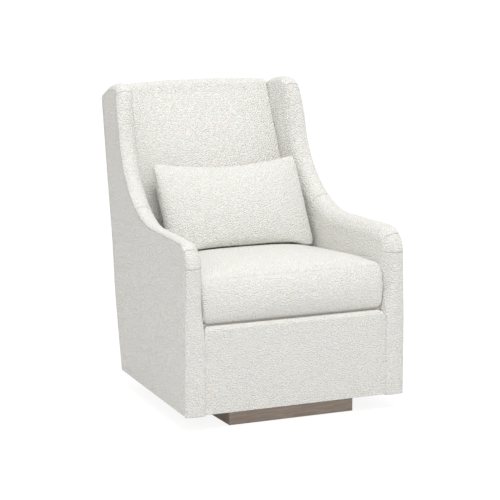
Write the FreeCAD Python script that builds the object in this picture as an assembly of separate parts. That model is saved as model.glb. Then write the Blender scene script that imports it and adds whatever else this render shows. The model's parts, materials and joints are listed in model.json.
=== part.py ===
import FreeCAD, Part
import math
import os

from FreeCAD import Vector

# Upholstered wing-arm glider chair on a swivel plinth.
# Millimetres, +Z up, the sitter faces -Y, and left is -X, as seen from in front.
# The origin lies on the floor, on the swivel axis in the middle of the plinth.

# Shell outline, seen from the side
arm_front_width = 730.0
shell_depth = 861.0
side_splay_deg = 3.4
front_reach = 318.0
shell_bottom = 50.0
arm_height = 577.0
arm_front_radius = 90.0
wing_foot_reach = 257.0
sweep_radius = 360.0
wing_top_reach = 360.0
wing_top_height = 989.0
wing_top_radius = 32.0
rear_top_drop = 39.0
rear_foot_reach = 330.0
corner_run_share = 0.7

# Layers of the arms, wings and back
side_panel_thickness = 10.0
side_frame_thickness = 24.0
arm_pad_thickness = 26.0
band_thickness = 16.0
band_inner_radius = 14.0
band_outer_radius = 5.0
back_panel_thickness = 12.0
cover_gap = 0.5

# Seat
deck_front_height = 329.0
seat_rake_deg = 3.6
deck_thickness = 14.0
apron_recess = 3.0
apron_thickness = 28.0
apron_lift = 3.0
apron_top_drop = 2.0
apron_edge_radius = 12.0
board_thickness = 22.0
rail_lift = 6.0
seat_rear_rail_reach = 226.0
seat_rear_rail_bottom = 92.0
foot_rail_height = 60.0
corner_block_leg = 60.0
corner_block_height = 60.0
corner_block_bottom = 180.0

# Zigzag springs of the seat and the back
wire_radius = 1.9
spring_pitch = 30.0
spring_half_bar = 14.0
seat_spring_count = 4
seat_spring_spacing = 130.0
back_spring_count = 3
back_spring_spacing = 150.0
clip_width = 16.0
clip_depth = 14.0
clip_height = 8.0
clip_play = 0.05

# Inside back
back_foot_reach = 193.0
back_foot_height = 318.0
back_top_setback = 78.85
back_pad_thickness = 30.0
back_crown = 34.0
back_crown_end_share = 0.25
back_lower_rail_lift = 10.0
back_rail_height = 80.0
back_top_rail_drop = 10.0
back_top_drop = 47.4
roll_front_rise = 32.0
roll_rear_rise = 22.0
roll_depth = 58.0
roll_arch = 14.0
roll_crown = 13.0

# Seat cushion
cushion_front_recess = 28.0
cushion_back_gap = 22.0
cushion_side_gap = 5.0
cushion_rear_lean_deg = 16.0
cushion_edge_height = 137.0
cushion_edge_arch = 6.0
cushion_crown_edge = 8.0
cushion_crown_middle = 34.0
cushion_shoulder = 130.0
cushion_front_bulge = 12.0
cushion_corner_draw = 5.0
cushion_corner_power = 8
rest_gap = 0.3

# Lumbar pillow
pillow_width = 484.0
pillow_height = 304.0
pillow_thickness = 130.0
pillow_edge_thickness = 10.0
pillow_fullness = 2.6
pillow_top_draw = 9.0
pillow_extra_lean_deg = 8.2
pillow_offset = 16.0
pillow_foot_gap = 83.0

# Plinth
plinth_width = 424.0
plinth_depth = 556.0
plinth_height = 45.0
plinth_board = 20.0
plinth_panel_thickness = 12.0
plinth_brace_width = 70.0
plinth_block_leg = 60.0

# Swivel
lower_plate_side = 240.0
lower_plate_thickness = 4.0
plate_bolt_spacing = 200.0
bolt_radius = 4.0
bolt_head_radius = 8.0
bolt_head_height = 4.0
plate_bolt_bite = 10.0
spindle_radius = 15.0
running_clearance = 0.05
thrust_ring_inner = 62.0
thrust_ring_outer = 98.0
thrust_ring_thickness = 6.0
swivel_play = 0.2
upper_plate_depth = 240.0
upper_plate_margin = 4.0
upper_plate_thickness = 6.0
hub_wall = 9.0
hub_height = 14.0
washer_radius = 26.0
washer_thickness = 2.5
nut_radius = 24.0
nut_height = 12.0
spindle_end = 3.0

# Glide links and their stands
pivot_height = 195.0
pivot_half_spacing = 90.0
link_length = 115.0
glide_limit_deg = 30.0
stand_face = 130.0
stand_thickness = 6.0
stand_base_half = 100.0
stand_top_half = 158.0
stand_shoulder_drop = 60.0
stand_top_rise = 20.0
stand_foot_width = 40.0
stand_bolt_reach = 70.0
tie_rod_radius = 8.0
tie_rod_reach = 55.0
tie_rod_drop = 5.0
link_thickness = 8.0
link_half_width = 14.0
link_side_gap = 2.0
pin_radius = 6.0
pin_head_radius = 10.0
pin_head_height = 4.0
bush_wall = 3.0
bush_flange_radius = 13.0
bush_flange_play = 0.3
retaining_ring_thickness = 1.2
retaining_ring_radius = 9.5
bumper_radius = 9.0
bumper_drop = 55.0
bumper_gap = 0.5
bracket_thickness = 5.0
bracket_half_length = 178.0
bracket_below_pivot = 18.0
glide_rail_thickness = 30.0
glide_rail_height = 50.0
glide_rail_lift = 20.0
bracket_bolt_reach = 160.0
bracket_bolt_bite = 24.0

# Sizes that follow from the ones above
splay = math.radians(side_splay_deg)
half_front = arm_front_width / 2
rear_top_reach = shell_depth - front_reach
rear_top_height = wing_top_height - rear_top_drop
back_rise = wing_top_height - back_top_drop - back_foot_height
back_run = rear_top_reach - back_top_setback - back_foot_reach
back_lean_deg = math.degrees(math.atan2(back_run, back_rise))
back_pad_length = math.hypot(back_run, back_rise)
pillow_lean_deg = back_lean_deg + pillow_extra_lean_deg
frame_inset = side_panel_thickness + side_frame_thickness
arm_thickness = frame_inset + arm_pad_thickness
cut_over = 2 * band_thickness
room = 2 * (front_reach + rear_top_reach)
apron_front_y = -front_reach + apron_recess
deck_front_y = apron_front_y + apron_thickness
rail_front_y = deck_front_y
cushion_front = cushion_front_recess - apron_recess - apron_thickness
cushion_rear = back_foot_reach - deck_front_y - cushion_back_gap
clip_zone = deck_thickness + clip_height
plinth_clear_height = plinth_height - plinth_panel_thickness
plate_top = plinth_height + lower_plate_thickness
upper_plate_bottom = plate_top + thrust_ring_thickness + swivel_play
upper_plate_top = upper_plate_bottom + upper_plate_thickness
hub_top = upper_plate_top + hub_height
washer_bottom = hub_top + swivel_play
nut_bottom = washer_bottom + washer_thickness
lower_pivot_height = pivot_height - link_length
stand_outer = stand_face + stand_thickness
link_inner = stand_outer + link_side_gap
link_outer = link_inner + link_thickness
bracket_inner = link_outer + link_side_gap
bracket_outer = bracket_inner + bracket_thickness
glide_rail_bottom = lower_pivot_height + glide_rail_lift
glide_rail_top = glide_rail_bottom + glide_rail_height


def export(name, *solids):
    """Write one node, a single solid or a group of them."""
    shape = solids[0] if len(solids) == 1 else Part.makeCompound(list(solids))
    shape.exportStep("parts/" + name + ".step")


def mirrored(solid):
    """The same piece on the other side of the middle plane."""
    return solid.mirror(Vector(0, 0, 0), Vector(1, 0, 0))


def export_pair(name, right_solid):
    """Write a right-hand piece and its left-hand twin."""
    export("right_" + name, right_solid)
    export("left_" + name, mirrored(right_solid))


def box(x_span, y_span, z_span):
    """Upright block between two values on each axis."""
    size = [high - low for low, high in (x_span, y_span, z_span)]
    return Part.makeBox(*size, Vector(x_span[0], y_span[0], z_span[0]))


def rod_x(radius, x_span, y, z):
    """Round rod along X between two values."""
    return Part.makeCylinder(radius, x_span[1] - x_span[0], Vector(x_span[0], y, z), Vector(1, 0, 0))


def rod_z(radius, z_span, x=0.0, y=0.0):
    """Round rod along Z between two heights."""
    return Part.makeCylinder(radius, z_span[1] - z_span[0], Vector(x, y, z_span[0]))


def placed(shape, y, z, tilt_deg):
    """Turn a shape about X so that its top leans to the rear, then move its origin to y, z."""
    moved = shape.copy()
    moved.rotate(Vector(0, 0, 0), Vector(1, 0, 0), -tilt_deg)
    moved.translate(Vector(0, y, z))
    return moved


def tilted_point(y, z, tilt_deg, across, up):
    """Side-view place of a point given across and up in a frame that leans to the rear."""
    cosine = math.cos(math.radians(tilt_deg))
    sine = math.sin(math.radians(tilt_deg))
    return (y + across * cosine + up * sine, z - across * sine + up * cosine)


def deck_point(back, up):
    """Side-view place of a point on the raked seat, measured from the deck's front edge."""
    return tilted_point(deck_front_y, deck_front_height, seat_rake_deg, back, up)


def back_point(behind, up):
    """Side-view place of a point on the leaning back, measured from the foot of its front face."""
    return tilted_point(back_foot_reach, back_foot_height, back_lean_deg, behind, up)


def half_width(y, inset):
    """Half of the clear width at y, an inset inside the splayed outer faces."""
    return half_front - inset / math.cos(splay) - (y + front_reach) * math.tan(splay)


def between_sides(inset):
    """Tall prism between the two sides, an inset inside their outer faces."""
    front, rear = -room, room
    plan = [(half_width(front, inset), front), (half_width(rear, inset), rear)]
    corners = [Vector(x, y, 0) for x, y in plan] + [Vector(-x, y, 0) for x, y in reversed(plan)]
    return Part.Face(Part.makePolygon(corners + corners[:1])).extrude(Vector(0, 0, room))


def line_crossing(start, along, other_start, other_along):
    """Point where two lines of the side view cross."""
    gap = other_start.sub(start)
    side = along.y * other_along.z - along.z * other_along.y
    share = (gap.y * other_along.z - gap.z * other_along.y) / side
    return start.add(Vector(along).multiply(share))


def inset_corners(corners, insets):
    """Move each edge of a side-view outline inwards and give the new corners."""
    count = len(corners)
    lines = []
    for index in range(count):
        along = corners[(index + 1) % count].sub(corners[index]).normalize()
        inwards = Vector(0, along.z, -along.y).multiply(insets[index])
        lines.append((corners[index].add(inwards), along))
    return [line_crossing(*lines[index - 1], *lines[index]) for index in range(count)]


def rounded_face(corners, radii):
    """Side-view face whose corners are rounded by tangent arcs, each within its two runs."""
    count = len(corners)
    stations = []
    for index, corner in enumerate(corners):
        back = corners[index - 1].sub(corner)
        ahead = corners[(index + 1) % count].sub(corner)
        half_angle = back.getAngle(ahead) / 2
        reach = min(radii[index] / math.tan(half_angle), corner_run_share * min(back.Length, ahead.Length))
        radius = reach * math.tan(half_angle)
        middle = Vector(back).normalize().add(Vector(ahead).normalize()).normalize()
        middle.multiply(radius / math.sin(half_angle) - radius)
        start = corner.add(back.normalize().multiply(reach))
        end = corner.add(ahead.normalize().multiply(reach))
        stations.append((start, corner.add(middle), end, radius))
    edges = []
    for index, (start, middle, end, radius) in enumerate(stations):
        if radius > 0:
            edges.append(Part.Arc(start, middle, end).toShape())
        edges.append(Part.makeLine(end, stations[(index + 1) % count][0]))
    return Part.Face(Part.Wire(edges))


def side_corners():
    """Corners of the side view: arm foot, arm front, wing foot, wing top, rear top, rear foot."""
    return [
        Vector(0, -front_reach, shell_bottom),
        Vector(0, -front_reach, arm_height),
        Vector(0, wing_foot_reach, arm_height),
        Vector(0, wing_top_reach, wing_top_height),
        Vector(0, rear_top_reach, rear_top_height),
        Vector(0, rear_foot_reach, shell_bottom),
    ]


def side_face(edge_inset, rear_inset, bottom_inset):
    """Side-view face with its front and top edges, rear edge and bottom edge moved inwards."""
    corners = inset_corners(side_corners(), [edge_inset] * 4 + [rear_inset, bottom_inset])
    front_radius = max(arm_front_radius - edge_inset, 0)
    top_radius = max(wing_top_radius - edge_inset, 0)
    return rounded_face(corners, [0, front_radius, sweep_radius + edge_inset, top_radius, 0, 0])


def side_layer(face, outer, inner):
    """Right-hand slab of the side between two depths below the outer face, before it is splayed."""
    moved = face.copy()
    moved.translate(Vector(half_front - inner, 0, 0))
    return moved.extrude(Vector(inner - outer, 0, 0))


def splayed(solid):
    """Turn a right-hand side piece about the arm's front corner, towards the middle at the rear."""
    turned = solid.copy()
    turned.rotate(Vector(half_front, -front_reach, 0), Vector(0, 0, 1), side_splay_deg)
    return turned


def deck_block(low, high):
    """Wide raked block between two heights above the deck's top face."""
    block = box((-room, room), (-room, room), (low, high))
    return placed(block, deck_front_y, deck_front_height, seat_rake_deg)


def back_block(front, rear, low, high):
    """Wide leaning block between two depths and two heights on the back."""
    block = box((-room, room), (front, rear), (low, high))
    return placed(block, back_foot_reach, back_foot_height, back_lean_deg)


def rear_block(front, rear):
    """Wide block between two distances in front of the chair's rear plane."""
    lean_deg = math.degrees(math.atan2(rear_top_reach - rear_foot_reach, rear_top_height - shell_bottom))
    block = box((-room, room), (-front, -rear), (-room, room))
    return placed(block, rear_foot_reach, shell_bottom, lean_deg)


def core_face():
    """Side-view face inside the band, with the back panel's room left free."""
    return side_face(band_thickness, back_panel_thickness, 0)


def side_panels():
    """Padded outer cover of each side."""
    export_pair("side_panel", splayed(side_layer(core_face(), 0, side_panel_thickness)))


def side_frames():
    """Plywood side of the chair's frame."""
    export_pair("side_frame", splayed(side_layer(core_face(), side_panel_thickness, frame_inset)))


def inner_arm_pads():
    """Padding on the inside of each arm and wing, from the deck up and back to the back pad's rear face."""
    pad = side_layer(core_face(), frame_inset, arm_thickness)
    pad = splayed(pad).cut(deck_block(-room, -deck_thickness))
    export_pair("inner_arm_pad", pad.cut(back_block(back_pad_thickness, room, -room, room)))


def on_soft_edge(edge):
    """True for an edge that runs along the front and top of a side slab."""
    place = edge.valueAt((edge.FirstParameter + edge.LastParameter) / 2)
    flat = edge.BoundBox.XLength < cover_gap
    corners = side_corners()
    rear_line = corners[5].sub(corners[4])
    from_rear = place.sub(corners[4]).cross(rear_line).Length / rear_line.Length
    above_foot = place.z > shell_bottom + cover_gap
    return flat and above_foot and from_rear > arm_thickness + back_panel_thickness


def arm_bands():
    """Padded band along the arm's front and top and the wing's front and top, rounded at its edges."""
    slab = side_layer(side_face(0, back_panel_thickness, 0), 0, arm_thickness)
    for depth, radius in ((0, band_outer_radius), (arm_thickness, band_inner_radius)):
        at_face = [edge for edge in slab.Edges if abs(edge.BoundBox.XMin - half_front + depth) < cover_gap]
        slab = slab.makeFillet(radius, [edge for edge in at_face if on_soft_edge(edge)])
    core = side_face(band_thickness, back_panel_thickness - cut_over, -cut_over)
    export_pair("arm_band", splayed(slab.cut(side_layer(core, -cut_over, arm_thickness + cut_over))))


def outside_back_panel():
    """Padded panel over the rear of the chair, flush with the outer faces of the sides."""
    outer = side_corners()
    inner = inset_corners(outer, [0, 0, 0, 0, back_panel_thickness, 0])
    corners = [outer[4], outer[5], inner[5], inner[4]]
    face = Part.Face(Part.makePolygon(corners + corners[:1]))
    face.translate(Vector(-room, 0, 0))
    export("outside_back_panel", face.extrude(Vector(2 * room, 0, 0)).common(between_sides(0)))


def front_apron():
    """Padded front panel between the arms, below the seat cushion."""
    heights = (shell_bottom + apron_lift, deck_front_height - apron_top_drop)
    apron = box((-room, room), (apron_front_y, deck_front_y), heights)
    apron = apron.common(between_sides(arm_thickness + cover_gap))
    top_edges = [edge for edge in apron.Edges if edge.BoundBox.YMax < apron_front_y + cover_gap
                 and edge.BoundBox.ZMin > heights[1] - cover_gap]
    export("front_apron", apron.makeFillet(apron_edge_radius, top_edges))


def seat_rails():
    """Front and rear boards of the seat frame, and the board that the back panel's foot is fixed to."""
    inside_frames = between_sides(frame_inset)
    above = deck_block(-clip_zone, room)
    front_y = (rail_front_y, rail_front_y + board_thickness)
    front = box((-room, room), front_y, (shell_bottom + rail_lift, room))
    export("seat_front_rail", front.cut(above).common(inside_frames))
    rear_y = (seat_rear_rail_reach, seat_rear_rail_reach + board_thickness)
    rear = box((-room, room), rear_y, (seat_rear_rail_bottom, room))
    export("seat_rear_rail", rear.cut(above).common(inside_frames))
    foot_bottom = shell_bottom + rail_lift
    foot = rear_block(back_panel_thickness + board_thickness, back_panel_thickness)
    foot = foot.common(box((-room, room), (-room, room), (foot_bottom, foot_bottom + foot_rail_height)))
    export("rear_foot_rail", foot.common(inside_frames))


def seat_corner_blocks():
    """Three-cornered glue blocks where the seat rails meet the side frames."""
    inside_frames = between_sides(frame_inset)
    blocks = []
    for rail_y, direction in ((rail_front_y + board_thickness, 1), (seat_rear_rail_reach, -1)):
        corner_x = half_width(rail_y, frame_inset)
        leg_y = rail_y + direction * corner_block_leg
        corners = [Vector(x, y, corner_block_bottom) for x, y in (
            (corner_x - corner_block_leg, rail_y), (room, rail_y), (room, leg_y), (corner_x, leg_y))]
        face = Part.Face(Part.makePolygon(corners + corners[:1]))
        block = face.extrude(Vector(0, 0, corner_block_height)).common(inside_frames)
        blocks += [block, mirrored(block)]
    export("seat_corner_blocks", *blocks)


def zigzag_spring(length):
    """Flat zigzag spring along Y, cross bars joined by half turns, with its first bar at the origin."""
    turns = max(1, round(length / spring_pitch))
    step = length / turns
    edges = []
    for index in range(turns + 1):
        side = 1 if index % 2 == 0 else -1
        start = Vector(-side * spring_half_bar, index * step, 0)
        end = Vector(side * spring_half_bar, index * step, 0)
        edges.append(Part.makeLine(start, end))
        if index < turns:
            middle = end.add(Vector(side * step / 2, step / 2, 0))
            edges.append(Part.Arc(end, middle, end.add(Vector(0, step, 0))).toShape())
    section = Part.Wire(Part.makeCircle(wire_radius, Vector(-spring_half_bar, 0, 0), Vector(1, 0, 0)))
    return Part.Wire(edges).makePipeShell([section], True, False)


def spring_clip(y):
    """Block that holds a spring's end bar on its rail."""
    half_x, half_y, half_z = clip_width / 2, clip_depth / 2, clip_height / 2
    block = box((-half_x, half_x), (y - half_y, y + half_y), (-half_z, half_z))
    return block.cut(rod_x(wire_radius + clip_play, (-clip_width, clip_width), y, 0))


def spring_set(count, spacing, length):
    """Springs side by side along Y and the clips at their ends."""
    springs, clips = [], []
    for index in range(count):
        offset = Vector((index - (count - 1) / 2) * spacing, 0, 0)
        springs.append(zigzag_spring(length))
        clips += [spring_clip(0), spring_clip(length)]
        for shape in (springs[-1], clips[-2], clips[-1]):
            shape.translate(offset)
    return springs, clips


def seat_springs():
    """Zigzag springs from the front rail to the rear rail, and their clips."""
    first = board_thickness / 2
    rake = math.radians(seat_rake_deg)
    length = (seat_rear_rail_reach - rail_front_y) / math.cos(rake)
    springs, clips = spring_set(seat_spring_count, seat_spring_spacing, length)
    y, z = deck_point(first, -deck_thickness - clip_height / 2)
    export("seat_springs", *[placed(spring, y, z, seat_rake_deg) for spring in springs])
    export("seat_spring_clips", *[placed(clip, y, z, seat_rake_deg) for clip in clips])


def seat_deck():
    """Padded deck that covers the springs from the apron to the rear rail."""
    deck_y = (deck_front_y, seat_rear_rail_reach + board_thickness)
    deck = deck_block(-deck_thickness, 0).common(box((-room, room), deck_y, (0, room)))
    export("seat_deck", deck.common(between_sides(arm_thickness + cover_gap)))


def back_rails():
    """Lower and top boards of the back frame, behind the springs."""
    inside_frames = between_sides(frame_inset)
    front = back_pad_thickness + clip_height
    top = back_pad_length - back_top_rail_drop
    for name, low in (("back_lower_rail", back_lower_rail_lift), ("back_top_rail", top - back_rail_height)):
        rail = back_block(front, front + board_thickness, low, low + back_rail_height)
        export(name, rail.common(inside_frames))


def back_springs():
    """Zigzag springs from the lower rail to the top rail, and their clips."""
    low = back_lower_rail_lift + back_rail_height / 2
    high = back_pad_length - back_top_rail_drop - back_rail_height / 2
    springs, clips = spring_set(back_spring_count, back_spring_spacing, high - low)
    y, z = back_point(back_pad_thickness + clip_height / 2, low)
    upright = back_lean_deg - 90
    export("back_springs", *[placed(spring, y, z, upright) for spring in springs])
    export("back_spring_clips", *[placed(clip, y, z, upright) for clip in clips])


def section_wire(points, arcs):
    """Closed section through points, with an arc through a middle point where arcs gives one."""
    edges = []
    for index, point in enumerate(points):
        following = points[(index + 1) % len(points)]
        if index in arcs:
            edges.append(Part.Arc(point, arcs[index], following).toShape())
        else:
            edges.append(Part.makeLine(point, following))
    return Part.Wire(edges)


def loft(sections):
    """Smooth solid through sections."""
    return Part.makeLoft(sections, True, False)


def back_section(share):
    """Level section of the back pad at a share of its height: flat rear, short sides, crowned front."""
    up = share * back_pad_length
    crown = back_crown * (1 - (1 - back_crown_end_share) * (2 * share - 1) ** 2)
    front_y, front_z = back_point(0, up)
    rear_y, rear_z = back_point(back_pad_thickness, up)
    crown_y, crown_z = back_point(-crown, up)
    front_x = half_width(front_y, arm_thickness + cover_gap)
    rear_x = half_width(rear_y, arm_thickness + cover_gap)
    points = [Vector(-front_x, front_y, front_z), Vector(front_x, front_y, front_z),
              Vector(rear_x, rear_y, rear_z), Vector(-rear_x, rear_y, rear_z)]
    return section_wire(points, {0: Vector(0, crown_y, crown_z)})


def inside_back_pad():
    """Crowned pad that the sitter leans on."""
    shares = (0.0, 0.25, 0.5, 0.75, 1.0)
    export("inside_back_pad", loft([back_section(share) for share in shares]))


def roll_section(across):
    """Upright section of the top roll at a share of its half width: flat foot, arched top."""
    middle_share = 1 - across ** 2
    front = -back_crown * back_crown_end_share * middle_share
    arch = roll_arch * middle_share
    front_top = roll_front_rise + arch
    outline = [(front, 0), (front, front_top), (roll_depth, roll_rear_rise + arch), (roll_depth, 0)]
    top = (roll_depth / 2, front_top + roll_crown)
    points = []
    for behind, up in outline + [top]:
        y, z = back_point(behind, back_pad_length + cover_gap + up)
        points.append(Vector(across * half_width(y, arm_thickness + cover_gap), y, z))
    return section_wire(points[:4], {1: points[4]})


def back_top_roll():
    """Padded roll over the top rail, between the wings."""
    shares = (-1.0, -0.6, 0.0, 0.6, 1.0)
    roll = loft([roll_section(across) for across in shares])
    export("back_top_roll", roll.cut(rear_block(back_panel_thickness + cover_gap, -room)))


def cushion_section(across):
    """Upright section of the seat cushion at a share of its half width, drawn in near the sides."""
    middle_share = 1 - across ** 2
    draw = cushion_corner_draw * across ** cushion_corner_power
    front = cushion_front + draw
    rear = cushion_rear - draw
    top = cushion_edge_height + cushion_edge_arch * middle_share - draw
    lean = (top - rest_gap) * math.tan(math.radians(cushion_rear_lean_deg))
    crown = cushion_crown_edge + (cushion_crown_middle - cushion_crown_edge) * middle_share
    bulge = cushion_front_bulge * (1 + middle_share) / 2
    half_shoulder = cushion_shoulder / 2
    half_rise = crown - cushion_drop(half_shoulder, crown)
    rear_top = rear + lean
    outline = [
        (front, rest_gap), (rear, rest_gap), (rear_top, top), (rear_top - cushion_shoulder, top + crown),
        (front + cushion_shoulder, top + crown), (front, top)]
    middles = [
        (rear_top - half_shoulder, top + half_rise), (front + half_shoulder, top + half_rise),
        (front - bulge, (top + rest_gap) / 2)]
    points = []
    for back, up in outline + middles:
        y, z = deck_point(back, up)
        points.append(Vector(across * half_width(y, arm_thickness + cushion_side_gap), y, z))
    return section_wire(points[:6], {2: points[6], 4: points[7], 5: points[8]})


def cushion_drop(beyond, crown):
    """Fall of the shoulder's arc at a distance beyond the flat of the crown."""
    radius = (cushion_shoulder ** 2 + crown ** 2) / (2 * crown)
    return radius - math.sqrt(radius ** 2 - beyond ** 2)


def cushion_top(back):
    """Height of the cushion's crown above the deck, on the middle line."""
    top = cushion_edge_height + cushion_edge_arch
    rear = cushion_rear + (top - rest_gap) * math.tan(math.radians(cushion_rear_lean_deg))
    beyond = max(0, back - rear + cushion_shoulder)
    return top + cushion_crown_middle - cushion_drop(beyond, cushion_crown_middle)


def seat_cushion():
    """Loose boxed cushion with a crowned top and a full front."""
    shares = (-1.0, -0.9, -0.55, 0.0, 0.55, 0.9, 1.0)
    export("seat_cushion", loft([cushion_section(across) for across in shares]))


def pillow_section(across):
    """Lens-shaped section of the lumbar pillow at a share of its half width."""
    fullness = 1 - abs(across) ** pillow_fullness
    half_thickness = (pillow_edge_thickness + (pillow_thickness - pillow_edge_thickness) * fullness) / 2
    top = pillow_height - pillow_top_draw * (1 - across ** 2)
    foot_back = back_foot_reach - deck_front_y - pillow_foot_gap
    foot_y, foot_z = deck_point(foot_back, cushion_top(foot_back) + rest_gap)
    x = pillow_offset + across * pillow_width / 2
    points = []
    for behind, up in ((0, 0), (0, top), (-half_thickness, top / 2), (half_thickness, top / 2)):
        points.append(Vector(x, *tilted_point(foot_y, foot_z, pillow_lean_deg, behind, up)))
    return section_wire(points[:2], {0: points[2], 1: points[3]})


def lumbar_pillow():
    """Loose knife-edged pillow that stands on the cushion and leans on the back."""
    shares = (-1.0, -0.86, -0.55, 0.0, 0.55, 0.86, 1.0)
    export("lumbar_pillow", loft([pillow_section(across) for across in shares]))


def plinth_boards():
    """Four boards of the plinth, mitred at the corners."""
    half_x, half_y = plinth_width / 2, plinth_depth / 2
    in_x, in_y = half_x - plinth_board, half_y - plinth_board
    plans = {
        "plinth_front_board": [(-half_x, -half_y), (half_x, -half_y), (in_x, -in_y), (-in_x, -in_y)],
        "plinth_rear_board": [(-half_x, half_y), (half_x, half_y), (in_x, in_y), (-in_x, in_y)],
        "plinth_left_board": [(-half_x, -half_y), (-in_x, -in_y), (-in_x, in_y), (-half_x, half_y)],
        "plinth_right_board": [(half_x, -half_y), (in_x, -in_y), (in_x, in_y), (half_x, half_y)],
    }
    for name, plan in plans.items():
        corners = [Vector(x, y, 0) for x, y in plan]
        face = Part.Face(Part.makePolygon(corners + corners[:1]))
        export(name, face.extrude(Vector(0, 0, plinth_height)))


def plinth_inside():
    """Panel that carries the swivel, and the brace and blocks under it."""
    in_x, in_y = plinth_width / 2 - plinth_board, plinth_depth / 2 - plinth_board
    panel = box((-in_x, in_x), (-in_y, in_y), (plinth_clear_height, plinth_height))
    for x, y in plate_bolt_places():
        panel = panel.cut(rod_z(bolt_radius, (plinth_height - plate_bolt_bite, plinth_height), x, y))
    export("plinth_top_panel", panel)
    half_brace = plinth_brace_width / 2
    export("plinth_centre_brace", box((-in_x, in_x), (-half_brace, half_brace), (0, plinth_clear_height)))
    blocks = []
    for side_x in (-1, 1):
        for side_y in (-1, 1):
            corner = Vector(side_x * in_x, side_y * in_y, 0)
            corners = [corner, corner.sub(Vector(side_x * plinth_block_leg, 0, 0)),
                       corner.sub(Vector(0, side_y * plinth_block_leg, 0))]
            face = Part.Face(Part.makePolygon(corners + corners[:1]))
            blocks.append(face.extrude(Vector(0, 0, plinth_clear_height)))
    export("plinth_corner_blocks", *blocks)


def plate_bolt_places():
    """Centres of the four bolts that hold the swivel on the plinth."""
    half = plate_bolt_spacing / 2
    return [(x, y) for x in (-half, half) for y in (-half, half)]


def swivel_base():
    """Fixed half of the swivel: plate, bolts, spindle, thrust ring, washer and nut."""
    half = lower_plate_side / 2
    plate = box((-half, half), (-half, half), (plinth_height, plate_top))
    plate = plate.cut(rod_z(spindle_radius, (plinth_height, plate_top)))
    bolts = []
    for x, y in plate_bolt_places():
        plate = plate.cut(rod_z(bolt_radius, (plinth_height, plate_top), x, y))
        shank = rod_z(bolt_radius, (plinth_height - plate_bolt_bite, plate_top), x, y)
        bolts.append(shank.fuse(rod_z(bolt_head_radius, (plate_top, plate_top + bolt_head_height), x, y)))
    export("swivel_lower_plate", plate)
    export("swivel_plate_bolts", *bolts)
    nut_top = nut_bottom + nut_height
    export("swivel_spindle", rod_z(spindle_radius, (plinth_height, nut_top + spindle_end)))
    ring_z = (plate_top, plate_top + thrust_ring_thickness)
    export("swivel_thrust_ring", rod_z(thrust_ring_outer, ring_z).cut(rod_z(thrust_ring_inner, ring_z)))
    washer = rod_z(washer_radius, (washer_bottom, nut_bottom))
    export("spindle_washer", washer.cut(rod_z(spindle_radius, (washer_bottom, nut_bottom))))
    hexagon = Part.Face(Part.makePolygon([nut_corner(index) for index in range(7)]))
    nut = hexagon.extrude(Vector(0, 0, nut_height))
    export("spindle_nut", nut.cut(rod_z(spindle_radius, (nut_bottom, nut_top))))


def nut_corner(index):
    """One corner of the spindle nut's hexagon."""
    angle = math.radians(60 * index)
    return Vector(nut_radius * math.cos(angle), nut_radius * math.sin(angle), nut_bottom)


def stand_bolt_places():
    """Centres of the bolts that hold the link stands on the turning plate."""
    x = stand_face - stand_foot_width / 2
    return [(side * x, y) for side in (-1, 1) for y in (-stand_bolt_reach, stand_bolt_reach)]


def swivel_upper_plate():
    """Turning plate with the hub that runs on the spindle, and the bolts of the link stands."""
    half_x, half_y = stand_outer + upper_plate_margin, upper_plate_depth / 2
    plate = box((-half_x, half_x), (-half_y, half_y), (upper_plate_bottom, upper_plate_top))
    plate = plate.fuse(rod_z(spindle_radius + hub_wall, (upper_plate_bottom, hub_top))).removeSplitter()
    plate = plate.cut(rod_z(spindle_radius + running_clearance, (upper_plate_bottom, hub_top)))
    foot_top = upper_plate_top + stand_thickness
    bolts = []
    for x, y in stand_bolt_places():
        plate = plate.cut(rod_z(bolt_radius, (upper_plate_bottom, upper_plate_top), x, y))
        shank = rod_z(bolt_radius, (upper_plate_bottom, foot_top), x, y)
        bolts.append(shank.fuse(rod_z(bolt_head_radius, (foot_top, foot_top + bolt_head_height), x, y)))
    export("swivel_upper_plate", plate)
    export("stand_bolts", *bolts)


def link_stands():
    """Bent steel stands that carry the links' upper pivots, and the rods that tie them together."""
    top = pivot_height + stand_top_rise
    shoulder = pivot_height - stand_shoulder_drop
    side = [(stand_base_half, upper_plate_top), (stand_top_half, shoulder), (stand_top_half, top)]
    corners = [Vector(stand_face, y, z) for y, z in side]
    corners += [Vector(stand_face, -y, z) for y, z in reversed(side)]
    stand = Part.Face(Part.makePolygon(corners + corners[:1])).extrude(Vector(stand_thickness, 0, 0))
    foot_x = (stand_face - stand_foot_width, stand_face)
    foot_top = upper_plate_top + stand_thickness
    stand = stand.fuse(box(foot_x, (-stand_base_half, stand_base_half), (upper_plate_top, foot_top)))
    for y in (-pivot_half_spacing, pivot_half_spacing):
        stand = stand.cut(rod_x(pin_radius, (stand_face, stand_outer), y, pivot_height))
    for x, y in stand_bolt_places():
        stand = stand.cut(rod_z(bolt_radius, (upper_plate_top, foot_top), x, y))
    export_pair("link_stand", stand.removeSplitter())
    rods = []
    for y in (-tie_rod_reach, tie_rod_reach):
        rods.append(rod_x(tie_rod_radius, (-stand_face, stand_face), y, pivot_height - tie_rod_drop))
    export("stand_tie_rods", *rods)


def upper_pins():
    """Headed pins in the stands, and the rings that keep the links on them."""
    ring_x = (bracket_inner, bracket_inner + retaining_ring_thickness)
    pins, rings = [], []
    for y in (-pivot_half_spacing, pivot_half_spacing):
        pin = rod_x(pin_radius, (stand_face, ring_x[1]), y, pivot_height)
        pin = pin.fuse(rod_x(pin_head_radius, (stand_face - pin_head_height, stand_face), y, pivot_height))
        ring = rod_x(retaining_ring_radius, ring_x, y, pivot_height)
        ring = ring.cut(rod_x(pin_radius, ring_x, y, pivot_height))
        pins += [pin, mirrored(pin)]
        rings += [ring, mirrored(ring)]
    export("upper_pivot_pins", *pins)
    export("pin_retaining_rings", *rings)


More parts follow.
